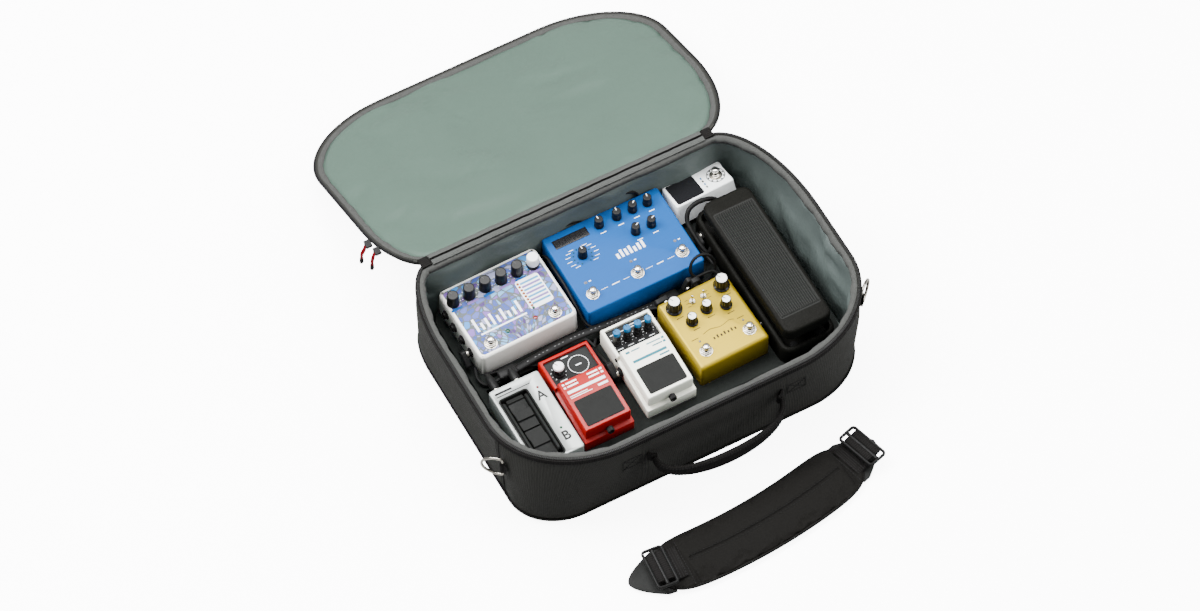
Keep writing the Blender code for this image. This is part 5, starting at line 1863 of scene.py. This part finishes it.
def build_rocker(node, side, top, well):
    """One ribbed rubber rocker pad with its raised bar."""
    far = 0.0488
    profile = ((0.0, -0.0055), (far, -0.0055), (far, 0.0015), (far - 0.006, 0.0036), (far - 0.0068, 0.0012),
               (far - 0.021, 0.0002), (far - 0.0218, 0.003), (far - 0.0345, 0.003), (far - 0.0352, -0.0004),
               (0.0, -0.0004))
    ridge = ((far - 0.02, -0.001), (far - 0.0076, -0.001), (far - 0.0076, 0.001), (far - 0.02, 0.0004))
    bm = bmesh.new()
    shaped(bm, [(side * y, z) for y, z in profile], 0.0118, 0.0006)
    shaped(bm, [(side * y, z) for y, z in ridge], 0.008, 0.0004)
    place = FOOTSWITCH @ Matrix.Translation((well.x, well.y + side * 0.0012, top - 0.004))
    piece(node + "_pedal", bm, PAD_RUBBER, node, place, 30, node)


def build_footswitch():
    """The dual footswitch: a silver casing with two rocker pads in a rubber well."""
    top = 0.038
    well = Vector((-0.01, -0.0075))
    size = (0.0715, 0.129, top)
    body = casing("footswitch", size, 0.0035, 0.0018, SILVER_PAINT, FOOTSWITCH)
    carve(body, SILVER_PAINT, FOOTSWITCH, about(well, 0.0195, 0.053), 0.0035, (top - 0.015, top + 0.01))
    build_footswitch_well(top, well)
    build_rocker("footswitch_rocker_a", 1.0, top, well)
    build_rocker("footswitch_rocker_b", -1.0, top, well)
    bm = bmesh.new()
    lens(bm, (0.0235, 0.041), 0.0017, top, slot=1)
    lens(bm, (0.0214, -0.0264), 0.0017, top, slot=2)
    bars(bm, top, ((-0.03, -0.006, 0.056, 0.003), (-0.03, 0.018, 0.0512, 0.0012)))
    piece("footswitch_print", bm, [INK_BLACK, RED_LAMP, GREEN_LAMP], "case", FOOTSWITCH)
    letter("footswitch_letter_a", "A", FOOTSWITCH @ Matrix.Translation((0.0222, 0.028, top + 0.0001)))
    letter("footswitch_letter_b", "B", FOOTSWITCH @ Matrix.Translation((0.0222, -0.04, top + 0.0001)))
    bm = bmesh.new()
    for x, length in ((-0.02, 0.032), (0.01, 0.027)):
        jack(bm, (x, 0.0645, 0.018), BACKWARD)
        straight_plug(bm, (x, 0.065, 0.018), (0.0, 1.0, 0.1), length)
    piece("footswitch_sockets", bm, [BLACK_PLASTIC, NICKEL], "case", FOOTSWITCH)


def treadle_ring(z, inset):
    """One level of the treadle's shell, whose underside rises towards heel and toe."""
    span = about((0.0, TREADLE_MIDDLE), 0.035, 0.114)
    ring = level(span, max(0.006, 0.0125 - inset), z, inset, (8, 8))
    for point in ring:
        if z < 0.0:
            point.z = z * (0.42 if point.y > TREADLE_MIDDLE else 0.62)
        point.z += TREADLE_LOW
    return ring


def build_treadle():
    """The expression pedal's treadle: shell, ribbed mat and the ears it turns on."""
    node = "wah_treadle"
    place = WAH @ Matrix.Translation((0.0, -0.062, 0.02))
    bm = bmesh.new()
    rows = ((-0.0165, 0.0015), (-0.016, 0.0004), (0.005, 0.0), (0.0074, 0.001), (0.0086, 0.0028),
            (0.009, 0.005))
    loft(bm, [treadle_ring(z, inset) for z, inset in rows])
    piece("wah_treadle_shell", bm, CRINKLE, node, place, 50, node)
    bm = bmesh.new()
    plate(bm, (0.0, TREADLE_MIDDLE), (0.059, 0.182), TREADLE_LOW + 0.0084, 0.0008, 0.003)
    for i in range(18):
        x = -0.0268 + 0.0536 * i / 17
        line = ((-0.0885, 0.01), (0.0, 0.0101), (0.0885, 0.01))
        path = [(x, TREADLE_MIDDLE + y, TREADLE_LOW + z) for y, z in line]
        sweep(bm, path, rounded_strip(0.0017, 0.003))
    piece("wah_treadle_mat", bm, RUBBER, node, place, 45)
    bm = bmesh.new()
    for side in (-1.0, 1.0):
        box(bm, (0.005, 0.016, 0.034), (side * 0.024, 0.0, 0.015))
    box(bm, (0.005, 0.12, 0.01), (-0.01, 0.06, 0.025))
    bevelled(piece("wah_treadle_ears", bm, BLACK_PLASTIC, node, place), 0.001)


def build_wah():
    """The expression pedal: a black tray, its treadle, pivot screws, feet and jack."""
    rows = ((GAP, 0.0006), (0.001, 0.0), (0.024, 0.0016), (0.0275, 0.0022), (0.0293, 0.0038), (0.03, 0.006),
            (0.0296, 0.0078), (0.027, 0.0086), (0.013, 0.0092))
    span = about((0.0, 0.0), 0.041, 0.125)
    bm = bmesh.new()
    loft(bm, [level(span, max(0.004, 0.017 - inset), z, inset, (8, 6)) for z, inset in rows])
    piece("wah_body", bm, CRINKLE, "case", WAH, 50, "wah_base")
    build_treadle()
    bm = bmesh.new()
    for side in (-1.0, 1.0):
        spot = pointing((side * 0.0403, -0.062, 0.0185), (side, 0.0, 0.0))
        lathe(bm, [(0.0036, 0.0), (0.0036, 0.001), (0.0028, 0.0016), (0.0016, 0.0016), (0.0014, 0.0008),
                   (0.0, 0.0008)], 24, spot)
    piece("wah_pivot_screws", bm, NICKEL, "case", WAH)
    bm = bmesh.new()
    for x, y in ((-0.018, 0.095), (0.018, 0.095), (-0.018, -0.108), (0.018, -0.108)):
        lathe(bm, [(0.005, 0.0), (0.005, 0.0035), (0.0, 0.004)], 20, Matrix.Translation((x, y, 0.013)))
    jack(bm, (-0.0402, 0.095, 0.016), LEFT, 0.0035)
    flat_plug(bm, (-0.04, 0.095, 0.016), LEFT, (0.0, -1.0, 0.0), 0.022)
    piece("wah_fittings", bm, [BLACK_PLASTIC, NICKEL], "case", WAH)


def build_deck():
    """The deck keeps its CAD solid under a loop fabric skin of raised panels."""
    for row in frame["nodes"]["board_deck"].material_slots:
        row.material = DECK_FELT.material
    bm = bmesh.new()
    for low, high in ((-0.136, -0.128), (-0.125, 0.01), (0.014, 0.026), (0.034, 0.16)):
        plate(bm, (0.0, (low + high) / 2), (0.44, high - low), DECK_TOP + 0.0001, 0.0003, 0.01)
    piece("deck_loop_panels", bm, DECK_FELT, "case")


def build_patch_cable():
    """The flat braided cable between the rows of pedals, with its two plugs."""
    y = 0.03
    path = []
    for i in range(41):
        share = i / 40
        height = 0.0085 + 0.008 * math.sin(math.pi * share)
        path.append(Vector((-0.172 + 0.232 * share, y + 0.0022 * math.sin(6.3 * share), DECK_TOP + height)))
    bm = bmesh.new()
    sweep(bm, path, rounded_strip(0.0105, 0.0034))
    piece("patch_cable_flat", bm, CABLE_BLACK, "case", smooth=60, node="patch_cable")
    bm = bmesh.new()
    for i in range(3, 38):
        if i % 9 in (0, 4):
            continue
        a = path[i] + Vector((-0.0014, 0.0, 0.0018))
        b = a + Vector((0.0022, 0.0, 0.0))
        sweep(bm, [a, (a + b) / 2, b], rounded_strip(0.0009, 0.0002))
    piece("patch_cable_dashes", bm, GREY_INK, "case")
    bm = bmesh.new()
    for x in (-0.185, 0.052):
        place = Matrix.Translation((x, y, DECK_TOP + 0.008))
        rows = ((-0.006, 0.0012), (-0.005, 0.0), (0.005, 0.0), (0.0062, 0.0014))
        loft(bm, [level(about((0.0, 0.0), 0.013, 0.007), 0.004, z, inset, matrix=place) for z, inset in rows])
    piece("patch_cable_plugs", bm, BLACK_PLASTIC, "case", smooth=50)


# Each loose cable: name, radius and the points it passes, measured from the deck's top
CABLES = (
    ("cable_left", 0.0024, (
        (-0.219, 0.056, 0.01), (-0.2225, 0.042, 0.006), (-0.218, 0.03, 0.0045), (-0.205, 0.027, 0.006),
        (-0.19, 0.03, 0.008))),
    ("cable_footswitch_a", 0.0022, (
        (-0.213, 0.029, 0.021), (-0.213, 0.035, 0.017), (-0.207, 0.04, 0.009), (-0.19, 0.039, 0.005),
        (-0.15, 0.037, 0.004), (-0.09, 0.037, 0.0035))),
    ("cable_footswitch_b", 0.0018, (
        (-0.183, 0.024, 0.02), (-0.183, 0.03, 0.015), (-0.174, 0.0345, 0.006), (-0.14, 0.0235, 0.004),
        (-0.115, 0.0225, 0.004), (-0.09, 0.025, 0.006), (-0.075, 0.022, 0.016), (-0.07, 0.005, 0.018))),
    ("cable_between_rows", 0.0019, (
        (-0.068, 0.166, 0.012), (-0.064, 0.15, 0.03), (-0.0655, 0.125, 0.037), (-0.065, 0.095, 0.036),
        (-0.0655, 0.065, 0.03), (-0.062, 0.04, 0.016), (-0.04, 0.033, 0.006), (-0.005, 0.036, 0.004))),
    ("cable_behind", 0.0019, (
        (-0.04, 0.17, 0.02), (-0.043, 0.1725, 0.034), (-0.02, 0.1735, 0.043), (0.001, 0.173, 0.04),
        (0.025, 0.1735, 0.036), (0.035, 0.172, 0.022))),
    ("cable_wah", 0.0032, (
        (0.138, 0.07, 0.012), (0.1265, 0.062, 0.018), (0.1225, 0.085, 0.026), (0.1225, 0.107, 0.034),
        (0.13, 0.1175, 0.042), (0.145, 0.1205, 0.046), (0.165, 0.1205, 0.04), (0.18, 0.121, 0.02))),
    ("cable_wah_front", 0.0019, (
        (0.1245, 0.09, 0.02), (0.1215, 0.07, 0.018), (0.1235, 0.045, 0.022), (0.1265, 0.025, 0.012),
        (0.1285, 0.0, 0.006), (0.129, -0.05, 0.005), (0.126, -0.09, 0.005))),
    ("cable_delay", 0.0022, (
        (-0.064, -0.042, 0.016), (-0.069, -0.03, 0.02), (-0.07, -0.015, 0.016), (-0.069, 0.008, 0.006),
        (-0.06, 0.023, 0.005))),
    ("cable_drive", 0.0019, (
        (0.027, 0.016, 0.022), (0.019, 0.02, 0.02), (0.006, 0.0205, 0.012), (-0.015, 0.021, 0.006))),
)


def build_cables():
    """The loose cables round the pedals, and the plugs and sockets that belong to none of them."""
    for name, radius, points in CABLES:
        cable(name, radius, points)
    loop = []
    for k in range(15):
        turn = math.radians(-30.0 + 22.0 * k)
        height = 0.04 + 0.016 * math.sin(turn)
        loop.append((0.064 + 0.019 * math.cos(turn), 0.17 + 0.004 * math.sin(turn * 0.5), height))
    cable("cable_loop_back", 0.0019, loop)
    ring = []
    for k in range(19):
        turn = math.radians(-120.0 + 19.0 * k)
        height = 0.033 + 0.0175 * math.sin(turn) + 0.0006 * k
        ring.append((0.104 + 0.018 * math.cos(turn), 0.033 + 0.008 * math.sin(turn), height))
    cable("cable_loop_right", 0.0021, ring)
    tail = ((0.113, 0.028, 0.03), (0.1215, 0.021, 0.026), (0.122, 0.018, 0.023))
    cable("cable_loop_tail", 0.0021, [ring[-1], *tail])
    bm = bmesh.new()
    flat_plug(bm, (-0.0618, -0.043, DECK_TOP + 0.016), LEFT, (0.0, 0.85, 0.35), 0.024)
    flat_plug(bm, (-0.075, -0.039, DECK_TOP + 0.016), (1.0, 0.0, 0.0), (0.0, 0.9, 0.3), 0.021)
    for x, y in ((-0.1515, -0.057), (-0.1515, -0.039), (-0.0585, -0.043)):
        jack(bm, (x, y, DECK_TOP + 0.016), LEFT)
    piece("compact_sockets", bm, [BLACK_PLASTIC, NICKEL], "case")
    bm = bmesh.new()
    flat_plug(bm, (0.078, 0.02, DECK_TOP + 0.02), BACKWARD, (0.4, 0.0, 1.0), 0.022)
    flat_plug(bm, (0.063, 0.173, DECK_TOP + 0.023), (0.0, -0.2, 1.0), (1.0, 0.0, 0.0), 0.024)
    piece("loose_plugs", bm, [BLACK_PLASTIC, NICKEL], "case")


# ---------------------------------------------------------------- stage


def build_sky():
    """A soft sky that is bright overhead and grey near the horizon, so metal has contrast."""
    world = bpy.data.worlds.new("studio")
    world.use_nodes = True
    tree = world.node_tree
    place = tree.nodes.new("ShaderNodeTexCoord")
    parts = tree.nodes.new("ShaderNodeSeparateXYZ")
    ramp = tree.nodes.new("ShaderNodeValToRGB")
    ramp.color_ramp.elements[0].position = 0.15
    ramp.color_ramp.elements[0].color = (0.22, 0.23, 0.24, 1.0)
    ramp.color_ramp.elements[1].position = 0.85
    ramp.color_ramp.elements[1].color = (1.0, 1.0, 1.0, 1.0)
    tree.links.new(place.outputs["Generated"], parts.inputs[0])
    tree.links.new(parts.outputs[2], ramp.inputs["Fac"])
    tree.links.new(ramp.outputs["Color"], tree.nodes["Background"].inputs["Color"])
    tree.nodes["Background"].inputs["Strength"].default_value = 1.1
    bpy.context.scene.world = world


def build_stage():
    """A pale floor and soft light from above and both sides."""
    bpy.ops.mesh.primitive_plane_add(size=30.0, location=(0.0, 0.0, -0.0015))
    floor = bpy.context.object
    floor.name = "floor"
    paper = coated("floor_paper", (0.86, 0.86, 0.86), 0.9, grain=60.0, depth=0.0001, spread=0.01)
    seen = paper.node("LightPath").outputs["Is Camera Ray"]
    paper.set("Base Color", paper.mix(seen, (0.3, 0.3, 0.3), (0.86, 0.86, 0.86)))
    paper.set("Emission Color", (1.0, 1.0, 1.0, 1.0))
    paper.set("Emission Strength", paper.math("MULTIPLY", seen, 8.0))
    floor.data.materials.append(paper.material)
    build_sky()
    lights = (
        ("key", (-1.5, 1.0, 2.6), 1.5, 240.0),
        ("fill", (2.0, -1.2, 1.9), 1.8, 110.0),
        ("top", (0.3, 0.8, 3.0), 1.8, 190.0),
    )
    for name, place, size, power in lights:
        data = bpy.data.lights.new(name, "AREA")
        data.size = size
        data.energy = power
        light = bpy.data.objects.new(name, data)
        light.location = place
        light.rotation_euler = (Vector((0.0, 0.0, 0.05)) - Vector(place)).to_track_quat("-Z", "Y").to_euler()
        bpy.context.scene.collection.objects.link(light)


CAMERA_PLACE = (-1.8016, -3.3075, 6.1036)
CAMERA_TURN = math.radians(-27.7)
CAMERA_RISE = math.radians(57.96)
CAMERA_ROLL = math.radians(-0.947)


def build_camera():
    """A long lens that looks down on the case from its front left."""
    data = bpy.data.cameras.new("camera")
    data.lens = 165.0
    data.sensor_width = 36.0
    data.shift_y = 0.0145
    data.clip_end = 100.0
    camera = bpy.data.objects.new("camera", data)
    rise = Matrix.Rotation(math.pi / 2 - CAMERA_RISE, 4, "X")
    turn = Matrix.Rotation(CAMERA_TURN, 4, "Z")
    roll = Matrix.Rotation(CAMERA_ROLL, 4, "Z")
    camera.matrix_world = Matrix.Translation(CAMERA_PLACE) @ turn @ rise @ roll
    bpy.context.scene.collection.objects.link(camera)
    bpy.context.scene.camera = camera


def build_all():
    """Builds every piece, then the stage."""
    build_shell()
    build_seams()
    build_rim()
    build_wall_lining()
    build_floor_lining()
    build_stitched_tabs()
    build_lid()
    build_lid_lining()
    build_gusset()
    build_zip_pull("zip_pull_left", 0.0115)
    build_zip_pull("zip_pull_right", 0.0135)
    build_handle()
    build_ring("d_ring_left", -1.0)
    build_ring("d_ring_right", 1.0)
    lie = pad_surface(build_pad())
    build_strap_edging()
    build_strap_stitches(lie)
    build_strap_ends(lie)
    build_strap_tips()
    build_buckle("strap_buckle_left", -1.0, -0.7)
    build_buckle("strap_buckle_right", 1.0, 0.8)
    build_deck()
    build_reverb()
    build_modulation()
    build_tuner()
    build_drive()
    build_delay()
    build_looper()
    build_footswitch()
    build_wah()
    build_patch_cable()
    build_cables()
    build_stage()
    build_camera()


build_all()
bpy.context.view_layer.update()
